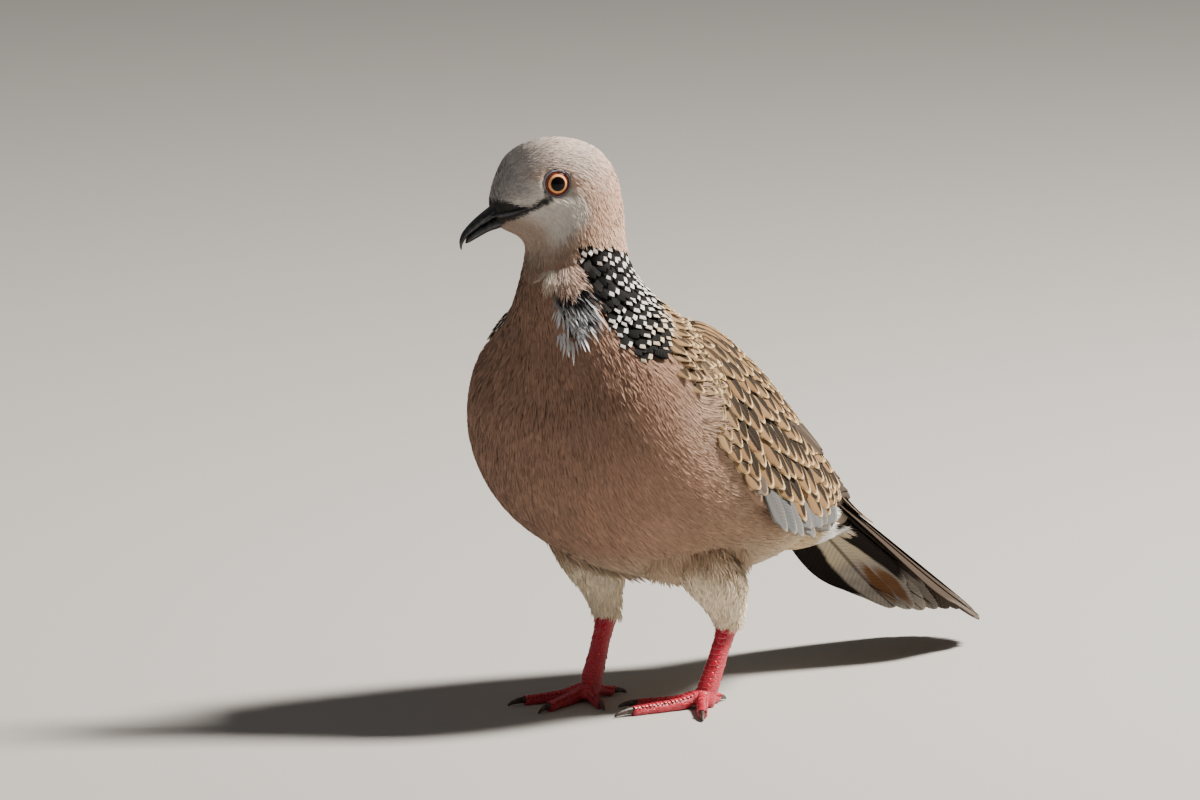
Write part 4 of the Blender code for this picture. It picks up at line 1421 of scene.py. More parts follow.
def make_wing(name, side, vane_material):
    """The shoulder and the wing coverts in rows along the wing, each feather with a dark wedge and
    a pale fringe, and the blue-grey greater coverts whose tips make the wing's lower edge. The
    rows' shares of the wing's height grow as a power of their number."""
    face = WING_FACES[name]
    crosswise = Face(lambda v, u: wing_surface(side)(u, v), (0.015, -86.0), (1.0, 22.0), -side)
    rows = 0.035 + 0.84 * np.linspace(0, 1, 11) ** 1.1
    v, u = rows_of_roots(crosswise, rows, WING_SPACING, (-56.0, 21.5), 71, 0.35)
    points = wing_surface(1)(u, v)
    small = np.interp(u, (-50, -20, 0, 21), (1.35, 1.15, 1.0, 0.6))
    uneven = np.random.default_rng(74).uniform(0.92, 1.06, len(u))
    wish = np.interp(v, *WING_LENGTH) * small * uneven
    room = room_below(u, points[:, 2])
    last = v > GREY_ROW
    grey = last * (1 - smooth_step(-4, 5, u))
    room = room * 1.06 + 1.2
    length = np.where(last, np.where(u < 0, room, 9.0), np.minimum(wish, room - 6.0))
    length = np.minimum(length, np.minimum(room, 20.0))
    wanted = (length > 4.0) & ((u < 17) | (v > 0.14))
    u, v, length, grey, small = kept(wanted, u, v, length, grey, small)
    width = np.minimum(np.interp(v, *WING_WIDTH) * (0.3 + 0.7 * small), length * 0.8)
    shoulder = smooth_step(8, 21, u)
    tint = mixed(WING_BROWN, MANTLE, 0.6 * shoulder)
    tint = mixed(tint, COVERT_GREY, grey)
    mark = (1.0 - 0.25 * shoulder) * (1 - 0.8 * grey)
    edge = 1.0 - 0.2 * shoulder - 0.75 * grey
    form = vane_form(11, 9, waist=0.62, blunt=0.6, roundness=0.34)
    layers = [
        lay_vanes(face, (u, v), length, width, varied(tint, 72, 0.08), 73, form, depth=1.3,
                  proud=np.interp(u, (-10, 18), (0.4, 0.1)), lie=wing_lie, mark=mark, edge=edge,
                  lift=-BEND_DROP * bend_drop(u, v), mirror=side, yaw=0.1, camber=0.12,
                  thickness=0.14, patch_size=0.01)
    ]
    return coat_piece(f"wing_coverts_{name}", layers, vane_material, "wing_plumage", f"wing_{name}")


def flight_rows():
    """The primaries, secondaries and tertials of one wing, evenly spaced along it: their places,
    length, width and lift. A secondary is as long as the room that the wing leaves below it."""
    number = np.arange(8)
    primaries = (-44.0 - 0.9 * number, 0.93 - 0.085 * number, 41.0 - 2.3 * number, 8.0,
                 -0.4 + 0.07 * number)
    ahead = np.arange(4.4, -46.0, -4.6)
    share = np.full(len(ahead), 0.74)
    room = room_below(ahead, wing_surface(1)(ahead, share)[:, 2])
    secondaries = (ahead, share, room - 1.5, 7.5, -1.15)
    order = np.arange(5)
    tertials = (-26.0 - 5.2 * order, 0.56 - 0.10 * order, 36.0 - 1.6 * order, 12.5,
                0.4 + 0.06 * order)
    return primaries, secondaries, tertials


def make_flight_feathers(name, side, material):
    """Tertials over the dark primaries, which run along the wing to its tip."""
    form = vane_form(18, 9, waist=0.6, blunt=0.35, roundness=0.3, skew=0.2)
    looks = (
        (FLIGHT_BROWN, 0.35, 0.3, 81, tailward),
        (SECONDARY_BROWN, 0.1, 0.3, 83, wing_lie),
        (TERTIAL_BROWN, 0.9, 0.95, 82, tailward),
    )
    layers = []
    for (u, v, length, width, lift), (tint, edge, mark, seed, lie) in zip(flight_rows(), looks):
        colours = varied(tint, seed, count=len(u))
        layers.append(
            lay_vanes(WING_FACES[name], (u, v), length, width, colours, seed, form, depth=0.8,
                      proud=0.3, lie=lie, mark=mark, edge=edge, mirror=side, yaw=0.02,
                      thickness=0.25, lift=lift, patch_size=0.02)
        )
    return coat_piece(f"flight_{name}", layers, material, "wing_plumage", f"flight_feathers_{name}")


# ---- tail

TAIL_FACE = Face(lambda reach, left: on_tail(reach, left, 0.0), (0.0, -24.0), (120.0, 24.0), -1)
# Half the tail's feathers, from the middle out: the tip's reach and place aside, and width.
TAIL = ((118.5, 1.8, 13.0), (117.5, 4.8, 14.0), (116.0, 8.0, 15.5), (114.0, 10.8, 17.0),
        (111.0, 13.4, 19.0), (106.5, 15.6, 22.0))
TAIL_START = 8.0


def towards_tip(along_u, points):
    """Along the first parameter, to the tip of a tail, a toe or a shank."""
    return along_u


def make_tail(material):
    """Twelve tail feathers, fanned a little and graded in length. The outermost pair is lowest,
    and the inner web is the wider one."""
    layers = []
    for side in SIDES.values():
        for number, (tip_reach, tip_left, width) in enumerate(TAIL):
            left = side * (0.9 + 1.5 * number)
            run, aside = tip_reach - TAIL_START, side * tip_left - left
            form = vane_form(30, 13, waist=0.68, blunt=0.55, roundness=0.14, skew=side * 0.2)
            # A positive turn is towards the bird's right.
            layers.append(
                lay_vanes(TAIL_FACE, (np.array([TAIL_START]), np.array([left])),
                          math.hypot(run, aside), width, np.array([FLIGHT_BROWN]),
                          91 + number, form, depth=0.0, proud=0.0, lie=towards_tip,
                          mark=number / 5, yaw=0.0, camber=0.02, thickness=0.2,
                          turn=-math.atan2(aside, run), mirror=-side, patch_size=0.028,
                          lift=-0.25 - 0.2 * number - 0.1 * (side < 0))
            )
    return coat_piece("tail_feathers", layers, material, "tail_plumage", "tail")


def make_tail_coverts(material):
    """Brown coverts over the tail's root, in even rows, and rump feathers that sink to meet them
    from the edge of the back."""
    form = tuft_form(13, spread=0.5, root_spread=0.3, barb_width=0.06, rows=(0.0, 0.35, 0.7, 0.88))
    rows, columns = 13, 9
    count = rows * columns
    rng = np.random.default_rng(95)
    reach = np.repeat(np.linspace(2, 34, rows), columns) + rng.uniform(-1, 1, count)
    half_width = np.interp(reach, (2, 20, 34), (9, 9.5, 8))
    left = np.tile(np.linspace(-1, 1, columns), rows) * half_width
    tint = varied(RUMP, 96, count=count) * 0.62
    length = np.interp(reach, (2, 34), (14.0, 20.0))
    layers = [
        lay_tufts(TAIL_FACE, (reach, left), length, length * 0.5, tint, 97, form, depth=-1.5,
                  proud=0.5, lie=towards_tip, yaw=0.07, sway=0.03, tip=tint * 1.3)
    ]
    u, v = body_roots(0.0, 2.2, ((0, 2), (2.6, 2.6)), 98, (-1.15, 1.15))
    tint = varied(RUMP, 99, count=len(u)) * 0.75
    layers.append(
        lay_tufts(BODY_FACE, (u, v), 17.0, 17.0 * 0.42, tint, 99, form, depth=2.0,
                  proud=np.interp(u, (0, 2), (-5.5, -1.0)), yaw=0.07, sway=0.03, tip=tint * 1.2)
    )
    return coat_piece("tail_coverts", layers, material, "tail_plumage")


def make_undertail(material):
    """Long soft cream feathers under the tail, whitest at the sides of their tip. The cream of the
    middle underneath is painted shade on feathers that are whitish.
    """
    form = tuft_form(11, spread=0.5, barb_width=0.05)
    places = np.linspace(18.9, 50.0, 20)
    u, v = rows_of_roots(UNDERTAIL_FACE, places, ((18, 50), (2.2, 1.7)), (0.05, 3.09), 101, 0.6)
    off_middle = np.abs(v - math.pi / 2)
    u, v, off_middle = kept(u < np.interp(off_middle, (0.5, 1.1), (50, 25)), u, v, off_middle)
    # Pale only at the sides; the middle underneath keeps the darker vent colour as painted shade.
    white = smooth_step(18.7, 21, u) * smooth_step(0.25, 0.6, off_middle)
    tint = mixed(VENT, (0.99, 0.97, 0.93), white)
    length = np.interp(u, (18, 50), (14.0, 8.5)) * np.interp(off_middle, (0.7, 1.4), (1.0, 0.5))
    layers = [
        lay_tufts(UNDERTAIL_FACE, (u, v), length, length * 0.5, varied(tint, 102, 0.04), 103, form,
                  depth=2.2, proud=0.2, lie=towards_tip, yaw=0.05, sway=0.04, root_shade=0.97)
    ]
    return coat_piece("undertail_coat", layers, material, "pale_plumage", "undertail")


# ---- legs


def off_thigh(name, points):
    """How far points are from a feathered leg's middle line, as a multiple of its level oval."""
    rows = np.array(LEGS[name]["tibia"])
    place = np.interp(-points[:, 2], -rows[:, 2], np.arange(len(rows)))
    left, ahead, _, across, along_body = through(rows, place).T
    return np.hypot((points[:, 0] - left) / across, (-points[:, 1] - ahead) / along_body)


def hanging_over(name, form, seed):
    """Belly feathers round the top of a feathered leg that hang down over it."""
    u, v = body_roots(1.2, 5.2, ((1, 5), (1.5, 1.5)), seed)
    points = body_surface(u, v)
    off = off_thigh(name, points)
    aside = points[:, 0] * LEGS[name]["side"]
    near = (off > 0.95) & (off < 1.5) & (points[:, 2] < 58) & (aside > 8)
    u, v, points = kept(near, u, v, points)
    tint = varied(body_colour(u, v, points), seed)
    length = np.random.default_rng(seed).uniform(7.0, 10.5, len(u))
    return lay_tufts(BODY_FACE, (u, v), length, length * 0.5, tint, seed, form, depth=coat_depth(u),
                     proud=2.2, lie=along((0, 0.35, -1)), yaw=0.2, rough=1.2, root_shade=0.95)


def make_thigh_coat(material):
    """Cream feathers down both feathered legs, in loose ends over the ankle."""
    form = tuft_form(9, spread=0.5, barb_width=0.06)
    layers = []
    for number, name in enumerate(SIDES):
        places = np.linspace(0.7, 5.35, 17)
        roots = rows_of_roots(TIBIA_FACES[name], places, ((0, 6), (1.5, 1.0)),
                              (0.0, 2 * math.pi), 111 + number, 0.6)
        u, _ = roots
        points = TIBIA_FACES[name].surface(*roots)
        belly = body_colour(*body_place(points), points)
        tint = mixed(belly, CREAM, smooth_step(0.9, 2.8, u))
        length = np.interp(u, (0, 4, 6), (8.0, 6.4, 3.2))
        layers.append(hanging_over(name, form, 115 + number))
        layers.append(
            lay_tufts(TIBIA_FACES[name], roots, length, length * 0.55, varied(tint, 113), 114, form,
                      depth=np.interp(u, (0, 4, 6), (1.8, 1.2, 0.3)),
                      proud=np.interp(u, (0, 4, 6), (0.5, 0.9, 1.2)), rough=1.9, root_shade=0.93,
                      lie=along((0, 0.12, -1)), yaw=0.28)
        )
    return coat_piece("thigh_coat", layers, material, "pale_plumage", "thigh_left", "thigh_right")


def toe_face(leg, toe, sheet):
    """A toe's skin: a distance along it, and an angle round it from its right side over its top."""
    inwards = -leg["side"] * math.sin(math.radians(leg["toes"][toe]))
    across = np.array([math.cos(math.radians(leg["toes"][toe])), inwards, 0.0])

    def surface(reach, around):
        centres, radius = toe_line(leg, toe, reach.ravel())
        centres = centres.reshape(*reach.shape, 3)
        radius = radius.reshape(reach.shape)[..., None]
        side, rise = np.cos(around)[..., None], np.sin(around)[..., None]
        return centres + radius * (side * across + rise * np.array(UP))

    return Face(surface, (0.0, 0.0), (TOE_LENGTH[toe], math.pi), -1, sheet)


def shank_face(leg, sheet):
    """The shank's skin: share of its length from the ankle, and an angle round it."""
    ankle, top, _ = leg_line(leg)

    def surface(share, around):
        across, fore = shank_size(np.clip(share, 0, 1))
        side = np.array([1.0, 0, 0]) * (across * np.cos(around))[..., None]
        front = np.array([0, -1.0, 0]) * (fore * np.sin(around))[..., None]
        return ankle + share[..., None] * (top - ankle) + side + front

    return Face(surface, (-0.1, -0.5), (1.1, 2 * math.pi + 0.5), -1, sheet)


def make_scutes(material):
    """Overlapping plates down the front and back of each shank and along the top of each toe."""
    form = vane_form(5, 9, waist=0.6, blunt=0.94, roundness=0.1)
    layers = []

    def plates(face, u, angle, length, width, seed):
        """One row of plates along a face, at an angle round it."""
        roots = u, np.full(len(u), angle)
        tint = varied(LEG_RED, seed, 0.08, len(u))
        layers.append(
            lay_vanes(face, roots, length, width, tint, seed, form, depth=-0.02, proud=0.1,
                      lie=towards_tip, yaw=0.02, camber=0.0, thickness=0.12, edge=1.0)
        )

    cells = iter([(0.1 * number, 0.0, 0.1, 1.0) for number in range(10)])
    for leg in LEGS.values():
        face = shank_face(leg, next(cells))
        share = np.linspace(0.03, 0.93, 11)
        plates(face, share, math.pi / 2, 2.1, 5.2, 121)
        plates(face, share, 3 * math.pi / 2, 2.1, 4.2, 122)
        for toe, length in TOE_LENGTH.items():
            reach = np.arange(2.2, length - 0.8, 1.28)
            plates(toe_face(leg, toe, next(cells)), reach, math.pi / 2, 1.55, 3.3, 123)
    return coat_piece("leg_scutes", layers, material, "leg_skin")


CLAW_WIDTH, CLAW_THINNING, CLAW_SLIMNESS = 1.0, 0.85, 0.8


def claw_solid(leg, toe):
    """A claw: a cone bent down from the toe's tip along a quarter of an ellipse."""
    arc = np.linspace(0.0, 0.98 * math.pi / 2, 24)
    reaches = TOE_LENGTH[toe] - 0.5 + (CLAW_LENGTH[toe] + 0.7) * np.sin(arc)
    radius = CLAW_WIDTH * (1 - CLAW_THINNING * np.linspace(0, 1, 24) ** 1.2)
    low = 0.12 + radius[-1]
    height = low + (TOE_TIP_WIDTH + 0.1 - low) * np.cos(arc) ** 1.2
    centres, _ = toe_line(leg, toe, reaches)
    centres[:, 2] = height
    return tube(tube_rings(centres, radius * CLAW_SLIMNESS, radius, 16, UP))


def make_claws(material):
    """The eight claws."""
    solids = [claw_solid(leg, toe) for leg in LEGS.values() for toe in TOE_LENGTH]
    claws = solids_joined("claws", solids)
    nodes = [f"claw_{name}_{toe}" for name in LEGS for toe in TOE_LENGTH]
    return finished(claws, material, "claw_horn", *nodes)


# ---- eyes and bill

EYE_SIDES, LID_SIDES = 96, 160


def round_the_eye(side, off, aside, sides=EYE_SIDES):
    """Circles about an eye's axis: one for each distance from the axis and depth along it."""
    angle = circle(sides)[None]
    return head_point(EYE_AHEAD + off * np.cos(angle), EYE_UP + off * np.sin(angle), side * aside)


def make_eyes(material):
    """Two balls, bulged in front as a bell curve, with the distance from each one's axis kept for
    the iris's rings."""
    tilt = np.linspace(0.02, math.pi - 0.3, 60)[:, None]
    bulge = 0.3 * np.exp(-((tilt / 0.45) ** 2))
    off = EYE_RADIUS * np.sin(tilt)
    aside = EYE_ASIDE + EYE_RADIUS * np.cos(tilt) + bulge
    solids = [tube(round_the_eye(side, off, aside)) for side in SIDES.values()]
    eyes = solids_joined("eyes", solids)
    ring = np.concatenate([np.repeat(off, EYE_SIDES), [0.0, off[-1, 0]]])
    add_values(eyes.data, "ring", np.tile(ring, 2))
    return finished(eyes, material, "eye", "eye_left", "eye_right")


def make_lids(material):
    """The bare skin round each eye: a swollen ring on the ball, finely wrinkled, thicker below and
    in front, its outer edge sunk into the face."""
    loop = circle(28)[:, None]
    angle = circle(LID_SIDES)[None]
    swell = 1 + 0.22 * np.cos(angle + 0.9)
    half = 0.62 * swell
    wrinkle = 0.035 * np.sin(26 * angle + 2.5 * np.sin(3 * angle)) * (1 + np.cos(loop))
    off = 3.28 + half + half * np.cos(loop)
    ball = EYE_ASIDE + np.sqrt(np.maximum(EYE_RADIUS**2 - np.minimum(off, 4.6) ** 2, 1.0))
    aside = ball + 0.12 + (0.42 + wrinkle) * np.sin(loop)
    solids = [torus(round_the_eye(side, off, aside, LID_SIDES)) for side in SIDES.values()]
    lids = solids_joined("eyelids", solids)
    add_values(lids.data, "ring", np.tile(off.ravel(), 2))
    return finished(lids, material, "leg_skin")


def bill_solid(rows, swollen):
    """Half of the bill: ovals between its upper and lower edge. The upper half swells over the
    nostrils as a bell curve, with a groove under the swelling."""
    place = np.linspace(0, len(rows) - 1, 80)[:, None]
    angle = circle(56)[None]
    ahead, up, low_ahead, low_up, half = through(rows, place[:, 0]).T[:, :, None]
    rise, side = power_of(np.cos(angle), 0.9), power_of(np.sin(angle), 0.9)
    half = half * np.ones_like(angle)
    if swollen:
        height = np.cos(angle)
        along_bill = np.exp(-(((place - 2.3) / 0.85) ** 2))
        half = half + 0.55 * along_bill * np.exp(-(((height - 0.25) / 0.3) ** 2))
        half = half - 0.35 * along_bill * np.exp(-(((height + 0.25) / 0.12) ** 2))
    centre_ahead, centre_up = (ahead + low_ahead) / 2, (up + low_up) / 2
    return tube(head_point(centre_ahead + rise * (ahead - low_ahead) / 2,
                           centre_up + rise * (up - low_up) / 2, side * half))


def gape_solid(side):
    """The corner of the mouth: a horny line from the bill back along the face."""
    share = np.linspace(0, 1, 30)
    ahead, up = 59.0 - 8.6 * share, 140.5 + 2.7 * share**1.2
    places = np.linspace(17.5, 22.0, 600)
    angles = side * np.interp(places, (17.5, 22), (1.88, 2.2))
    line_ahead, _, line_aside = head_plane(body_surface(places, angles))
    order = np.argsort(line_ahead)
    aside = np.interp(ahead, line_ahead[order], np.abs(line_aside[order]))
    centres = head_point(ahead, up, side * (aside + 0.1))
    radius = 0.62 * np.sin(math.pi * np.clip(0.25 + 0.75 * share, 0, 0.97)) + 0.05
    return tube(tube_rings(centres, radius, radius, 16, UP))


def make_bill(material):
    """Both halves of the bill, the upper one with the corners of the mouth."""
    corners = [gape_solid(side) for side in SIDES.values()]
    upper = solids_joined("upper_bill_horn", [bill_solid(UPPER_BILL, True), *corners])
    lower = solids_joined("lower_bill_horn", [bill_solid(LOWER_BILL, False)])
    finished(upper, material, "bill_horn", "upper_bill")
    finished(lower, material, "bill_horn", "lower_bill")


# ---- finishes


def plumage_material():
    """Soft barbs in the coat's own colours, a little uneven."""
    start = new_material("soft_plumage")
    uneven = (0.86 + 0.28 * noise(start, 900)) * (0.86 + 0.28 * noise(start, 90, 2.0))
    return set_finish(start, tint_of(start).dimmed(uneven), 0.92, noise(start, 4000), 0.00008,
                      specular_ior_level=0.15, sheen_weight=0.08, sheen_roughness=0.5)


def vane_parts(start, fineness=90, slant=26):
    """Of a firm feather: place across, share of the length, distance from the shaft, slanting
    barbs as a sine of both, and the shaft itself."""
    across, reach = vane_places(start)
    size = abs(across)
    barbs = start.math("SINE", reach * fineness - size * slant) * 0.5 + 0.5
    shaft = size.below(0.015, 0.07)
    return across, reach, size, barbs, shaft


def covert_material():
    """Wing coverts: a dark wedge on the rear web and a pale fringe round the end."""
    start = new_material("wing_coverts")
    across, reach, size, barbs, shaft = vane_parts(start)
    mark, edge = value_of(start, "mark"), value_of(start, "edge")
    ragged = noise(start, 1500, 2.0) * 0.16 - 0.08
    end = (reach + size * 0.22 + ragged * 0.6).below(0.86, 0.97)
    middle = value_of(start, "chance") * 0.4
    wedge = (across + ragged + middle).above(-0.06, 0.08) * end
    shade = 1 - 0.25 * (1 - reach)
    ground = tint_of(start).dimmed((0.88 + barbs * 0.14) * shade)
    dark = (mark * wedge).between(ground, (0.022, 0.017, 0.013))
    rim = (size + ragged).above(0.80, 0.92) * reach.above(0.35, 0.7)
    tip = (reach + size * size * 0.12 + ragged * 0.5).above(0.89, 0.96)
    fringe = rim.either(tip) * edge
    pale = fringe.between(dark, (0.66, 0.48, 0.27))
    quill = (shaft * reach.below(0.6, 0.9) * 0.5).between(pale, (0.10, 0.07, 0.05))
    return set_finish(start, quill, 0.85, barbs, 0.00004, specular_ior_level=0.06)


def flight_material():
    """Tertials and primaries: brown, darker along the shaft, with a narrow pale fringe."""
    start = new_material("flight_feathers")
    _, _, size, barbs, shaft = vane_parts(start, 260, 44)
    mark, edge = value_of(start, "mark"), value_of(start, "edge")
    ground = tint_of(start).dimmed(0.8 + barbs * 0.3)
    middle = size.below(0.25, 0.8) * mark
    dark = middle.between(ground, (0.04, 0.03, 0.024))
    fringe = (size + (noise(start, 1500) - 0.5) * 0.1).above(0.84, 0.95) * edge
    pale = fringe.between(dark, (0.56, 0.43, 0.28))
    quill = shaft.between(pale, (0.06, 0.045, 0.035))
    return set_finish(start, quill, 0.8, barbs, 0.00006, specular_ior_level=0.12)


def patch_material():
    """Black feathers, each with two pale kite-shaped spots at the corners of its end."""
    start = new_material("spotted_collar")
    _, reach, size, barbs, _ = vane_parts(start)
    mark = value_of(start, "mark")
    kite = abs(size - 0.5) / 0.46 + abs(reach - 0.86) / 0.24
    spot = (kite + value_of(start, "chance") * 0.3 - 0.1).below(0.72, 0.95) * mark
    black = barbs.between((0.006, 0.006, 0.006), (0.015, 0.014, 0.014))
    colour = spot.between(black, tint_of(start).dimmed(0.85 + barbs * 0.2))
    return set_finish(start, colour, 0.7, barbs, 0.00016, specular_ior_level=0.14)


def tail_material():
    """Tail feathers. From above they are brown, the outer ones blacker with pale ends. From below
    the outer ones are black at the base and along both webs, cream and then grey between, with a
    rust-brown patch before the end."""
    start = new_material("tail_feathers")
    across, reach, size, barbs, shaft = vane_parts(start, 300, 40)
    mark, under = value_of(start, "mark"), value_of(start, "under").above(0.02, 0.12)
    streak = noise(start, 260, 4.0, (1.0, 0.25, 1.0))
    ragged = (streak - 0.5) * 0.14
    outer = mark.above(0.25, 0.55)
    black = (0.018, 0.014, 0.012)
    brown = barbs.between((0.052, 0.037, 0.026), (0.082, 0.059, 0.042))
    end = (reach + size * 0.08 + ragged).above(0.88, 0.96)
    ends = end.between((0.05, 0.036, 0.027), (0.10, 0.08, 0.065))
    above = outer.between(brown, ends)
    grey = streak.above(0.3, 0.7).between((0.34, 0.30, 0.26), (0.48, 0.43, 0.37))
    cream = (reach + ragged).above(0.64, 0.76).between((0.66, 0.56, 0.40), grey)
    aside, beyond = across + 0.26, reach - 0.86
    patch = (aside * aside * 12 + beyond * beyond * 55 + ragged * 3.0).below(0.3, 1.2)
    warm = (patch * mark.above(0.62, 0.82) * 0.9).between(cream, (0.175, 0.062, 0.009))
    base = (reach + ragged + size * 0.1 + mark * 0.5).below(0.88, 0.97)
    inner = (ragged - across - reach * 1.3 + 0.49).above(-0.06, 0.06) * reach.below(0.82, 0.92)
    outline = (across + ragged - reach * 0.42).above(0.06, 0.18) * reach.below(0.90, 0.99)
    below = inner.either(outline).either(base).between(warm, black)
    middle = barbs.between((0.050, 0.036, 0.028), (0.085, 0.062, 0.046))
    colour = under.between(above, outer.between(middle, below))
    colour = (shaft * 0.7).between(colour, (0.05, 0.035, 0.028))
    return set_finish(start, colour.dimmed(0.85 + barbs * 0.2), 0.85, barbs, 0.00008,
                      specular_ior_level=0.08)


def skin_material():
    """Skin: in the coat's colours under the plumage, with fine red scales on the bare legs."""
    start = new_material("skin")
    bare = value_of(start, "bare")
    place = start.node("ShaderNodeTexCoord", output="Object")
    cells = start.node("ShaderNodeTexVoronoi", {"feature": "DISTANCE_TO_EDGE"},
                       {"Vector": place, "Scale": 1400.0})
    scale = cells.above(0.02, 0.16)
    pale = (bare * (1 - scale) * 0.22).between(tint_of(start), (0.66, 0.26, 0.26))
    sole = (bare * noise(start, 700)).above(0.62, 0.8)
    colour = (sole * 0.4).between(pale, (0.65, 0.30, 0.16))
    height = scale * bare + noise(start, 900) * 0.3
    return set_finish(start, colour, 1 - 0.64 * bare, height, 0.00008, specular_ior_level=0.45,
                      subsurface_weight=0.04, subsurface_scale=0.002)


def scute_material():
    """Hard red plates with pale worn edges."""
    start = new_material("scutes")
    _, reach = vane_places(start)
    worn = (reach + (noise(start, 1800) - 0.5) * 0.2).above(0.74, 0.95)
    colour = (worn * 0.28).between(tint_of(start), (0.72, 0.26, 0.26))
    blotch = noise(start, 500).above(0.5, 0.75) * 0.4
    return set_finish(start, blotch.between(colour, (0.30, 0.03, 0.05)), 0.26,
                      noise(start, 3000), 0.00004, specular_ior_level=0.5)


def horn_material(name, dark, bloom_and_sheen, roughness):
    """Horn: nearly black with paler patches, finely grained: a dull pale coating on the claws, and
    a blue-grey painted sheen on the bill.
    """
    start = new_material(name)
    grain = noise(start, 700, 4.0)
    colour = grain.above(0.35, 0.75).between(dark, bloom_and_sheen)
    return set_finish(start, colour, roughness + noise(start, 1500) * 0.2,
                      noise(start, 2500), 0.00004, specular_ior_level=0.5)


def eye_material():
    """Rings of the iris by distance from the eye's axis, under a clear wet coat."""
    start = new_material("eye")
    ring = value_of(start, "ring")
    fleck = noise(start, 2600)
    iris = fleck.between((0.72, 0.26, 0.08), (0.92, 0.50, 0.22))
    colour = (0.003, 0.003, 0.003)
    # From the pupil outwards: where each ring's colour starts and is full.
    for low, high, tone in (
        (1.86, 2.0, (0.10, 0.03, 0.015)),
        (2.0, 2.12, iris),
        (2.55, 2.7, (0.06, 0.012, 0.01)),
        (2.75, 2.95, (0.24, 0.055, 0.03)),
        (3.3, 3.5, (0.02, 0.008, 0.008)),
    ):
        colour = ring.above(low, high).between(colour, tone)
    return set_finish(start, colour, 0.2, coat_weight=0.1, coat_roughness=0.02,
                      specular_ior_level=0.08)


def lid_material():
    """Blue-grey bare skin, dark along both of its edges."""
    start = new_material("eyelid")
    ring = value_of(start, "ring")
    fine = noise(start, 2200, 4.0)
    skin = fine.between((0.16, 0.165, 0.21), (0.32, 0.32, 0.39))
    inner = ring.below(3.38, 3.55).between(skin, (0.05, 0.03, 0.04))
    colour = ring.above(4.55, 4.8).between(inner, (0.06, 0.05, 0.055))
    return set_finish(start, colour, 0.5, fine, 0.0001, specular_ior_level=0.45)


# ---- stage


def make_floor():
    """A plain pale floor."""
    start = new_material("floor")
    finish = set_finish(start, (0.375, 0.366, 0.355, 1.0), 0.85)
    bpy.ops.mesh.primitive_plane_add(size=6.0, location=(0, 0, 0))
    floor = bpy.context.object
    floor.name = "floor"
    floor.data.materials.append(finish)


def add_area_light(name, place, aim, energy, size, colour):
    """A soft square light that looks at a point."""
    data = bpy.data.lights.new(name, "AREA")
    data.energy, data.size, data.color = energy, size, colour
    aim_at(placed(name, data), place, aim)


def aim_at(thing, place, aim):
    """Put an object at a place, its -Z towards the aim and its X level."""
    back = unit(place - aim)
    right = unit(np.cross(UP, back))
    turn = np.stack([right, np.cross(back, right), back], axis=1)
    whole = np.eye(4)
    whole[:3, :3], whole[:3, 3] = turn, place
    thing.matrix_world = Matrix(whole.tolist())


CAMERA_AZIMUTH, CAMERA_ELEVATION, CAMERA_DISTANCE = 38.0, 8.0, 3.7
CAMERA_LENS, SENSOR_WIDTH = 400.0, 36.0
CAMERA_NEAR, CAMERA_FAR = 0.1, 50.0
# The camera's aim on the bird, along its own right and up axes.
AIM_RIGHT, AIM_UP = -13.875, 83.8
# The key and fill lights: energy, size and colour.
KEY_LIGHT = (112.0, 0.3, (1.0, 0.94, 0.85))
FILL_LIGHT = (3.0, 1.4, (1.0, 0.97, 0.93))
SKY_COLOUR, SKY_STRENGTH = (0.90, 0.87, 0.84, 1.0), 0.135
BIRD_MIDDLE = (0.0, 0.0, 0.08)


def camera_axes():
    """The camera's right, up and back, from its azimuth and elevation."""
    azimuth, elevation = math.radians(CAMERA_AZIMUTH), math.radians(CAMERA_ELEVATION)
    level = np.array([math.sin(azimuth), -math.cos(azimuth), 0.0])
    back = level * math.cos(elevation) + np.array([0, 0, math.sin(elevation)])
    right = np.array([math.cos(azimuth), math.sin(azimuth), 0.0])
    return right, np.cross(back, right), back


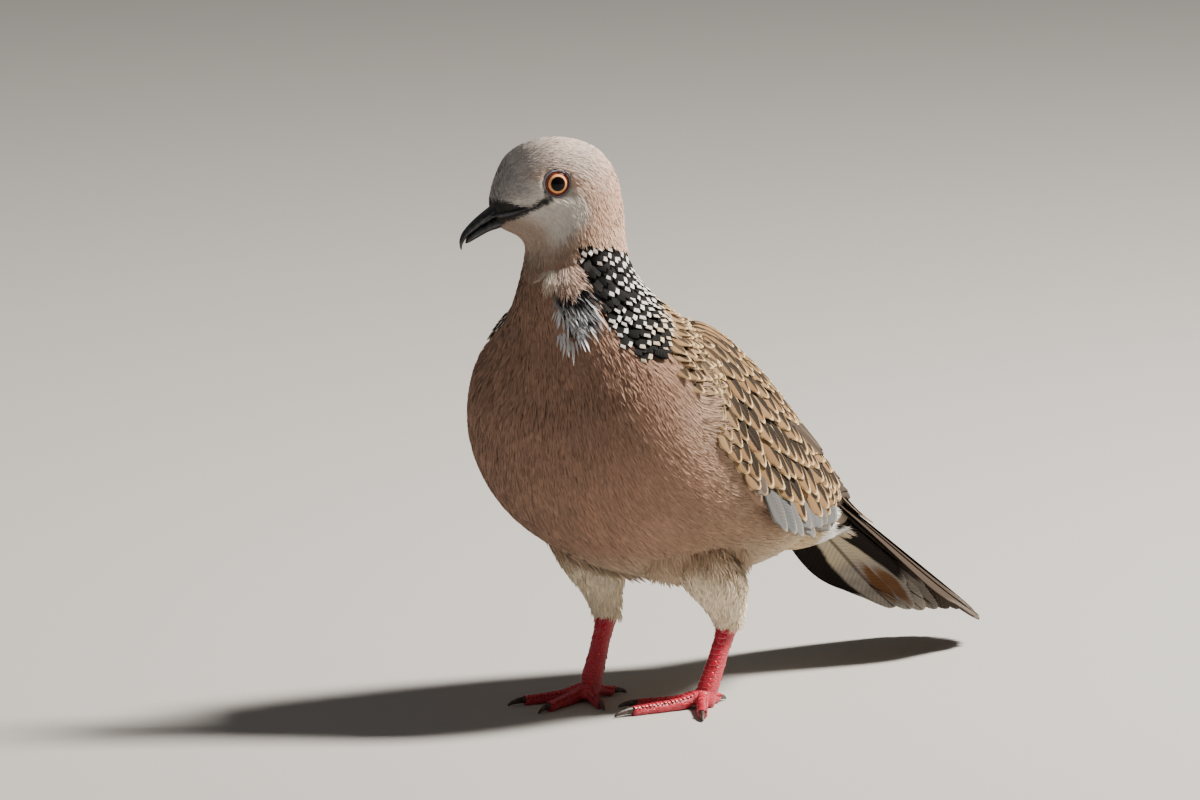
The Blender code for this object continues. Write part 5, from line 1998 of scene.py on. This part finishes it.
def make_camera():
    """A long lens, level and far off, aimed at the bird's middle."""
    right, up, back = camera_axes()
    aim = (right * AIM_RIGHT + up * AIM_UP) * MM + SHIFT
    data = bpy.data.cameras.new("camera")
    data.lens, data.sensor_width = CAMERA_LENS, SENSOR_WIDTH
    data.clip_start, data.clip_end = CAMERA_NEAR, CAMERA_FAR
    camera = placed("camera", data)
    aim_at(camera, aim + back * CAMERA_DISTANCE, aim)
    bpy.context.scene.camera = camera


def make_light():
    """A warm key from the right and a little behind, a weak fill from the left, and a pale sky."""
    right, _, back = camera_axes()
    level = unit(back * (1.0, 1.0, 0.0))
    middle = np.array(BIRD_MIDDLE)
    key = middle + right * 0.95 - level * 0.12 + (0, 0, 1.25)
    fill = middle - right * 1.3 + level * 1.3 + (0, 0, 0.7)
    add_area_light("key", key, middle, *KEY_LIGHT)
    add_area_light("fill", fill, middle, *FILL_LIGHT)
    world = bpy.context.scene.world or bpy.data.worlds.new("world")
    bpy.context.scene.world = world
    world.use_nodes = True
    sky = world.node_tree.nodes["Background"]
    sky.inputs["Color"].default_value = SKY_COLOUR
    sky.inputs["Strength"].default_value = SKY_STRENGTH


# ---- the dove

plumage = plumage_material()
coverts = covert_material()
flight = flight_material()
make_skin(skin_material())
make_head_coat(plumage)
make_neck_coat(plumage)
fine_coat("breast_coat", 3.6, 7.4, FRONT, (31, 33), plumage, "trunk")
fine_coat("belly_coat", 0.1, 3.7, FRONT, (32, 34), plumage)
make_back_coat(coverts)
fine_coat("nape_coat", 7.0, 9.2, BACK, (45, 46), plumage)
make_flank_sweep(plumage)
make_neck_patch(patch_material())
for wing_name, wing_side in SIDES.items():
    make_wing(wing_name, wing_side, coverts)
    make_flight_feathers(wing_name, wing_side, flight)
make_tail(tail_material())
make_tail_coverts(plumage)
make_undertail(plumage)
make_thigh_coat(plumage)
make_scutes(scute_material())
make_claws(horn_material("claw_horn", (0.020, 0.014, 0.012), (0.10, 0.07, 0.055), 0.35))
make_eyes(eye_material())
make_lids(lid_material())
# The bill's paler blue-grey patches are painted sheen.
make_bill(horn_material("bill_horn", (0.012, 0.012, 0.013), (0.050, 0.052, 0.060), 0.27))
make_floor()
make_light()
make_camera()
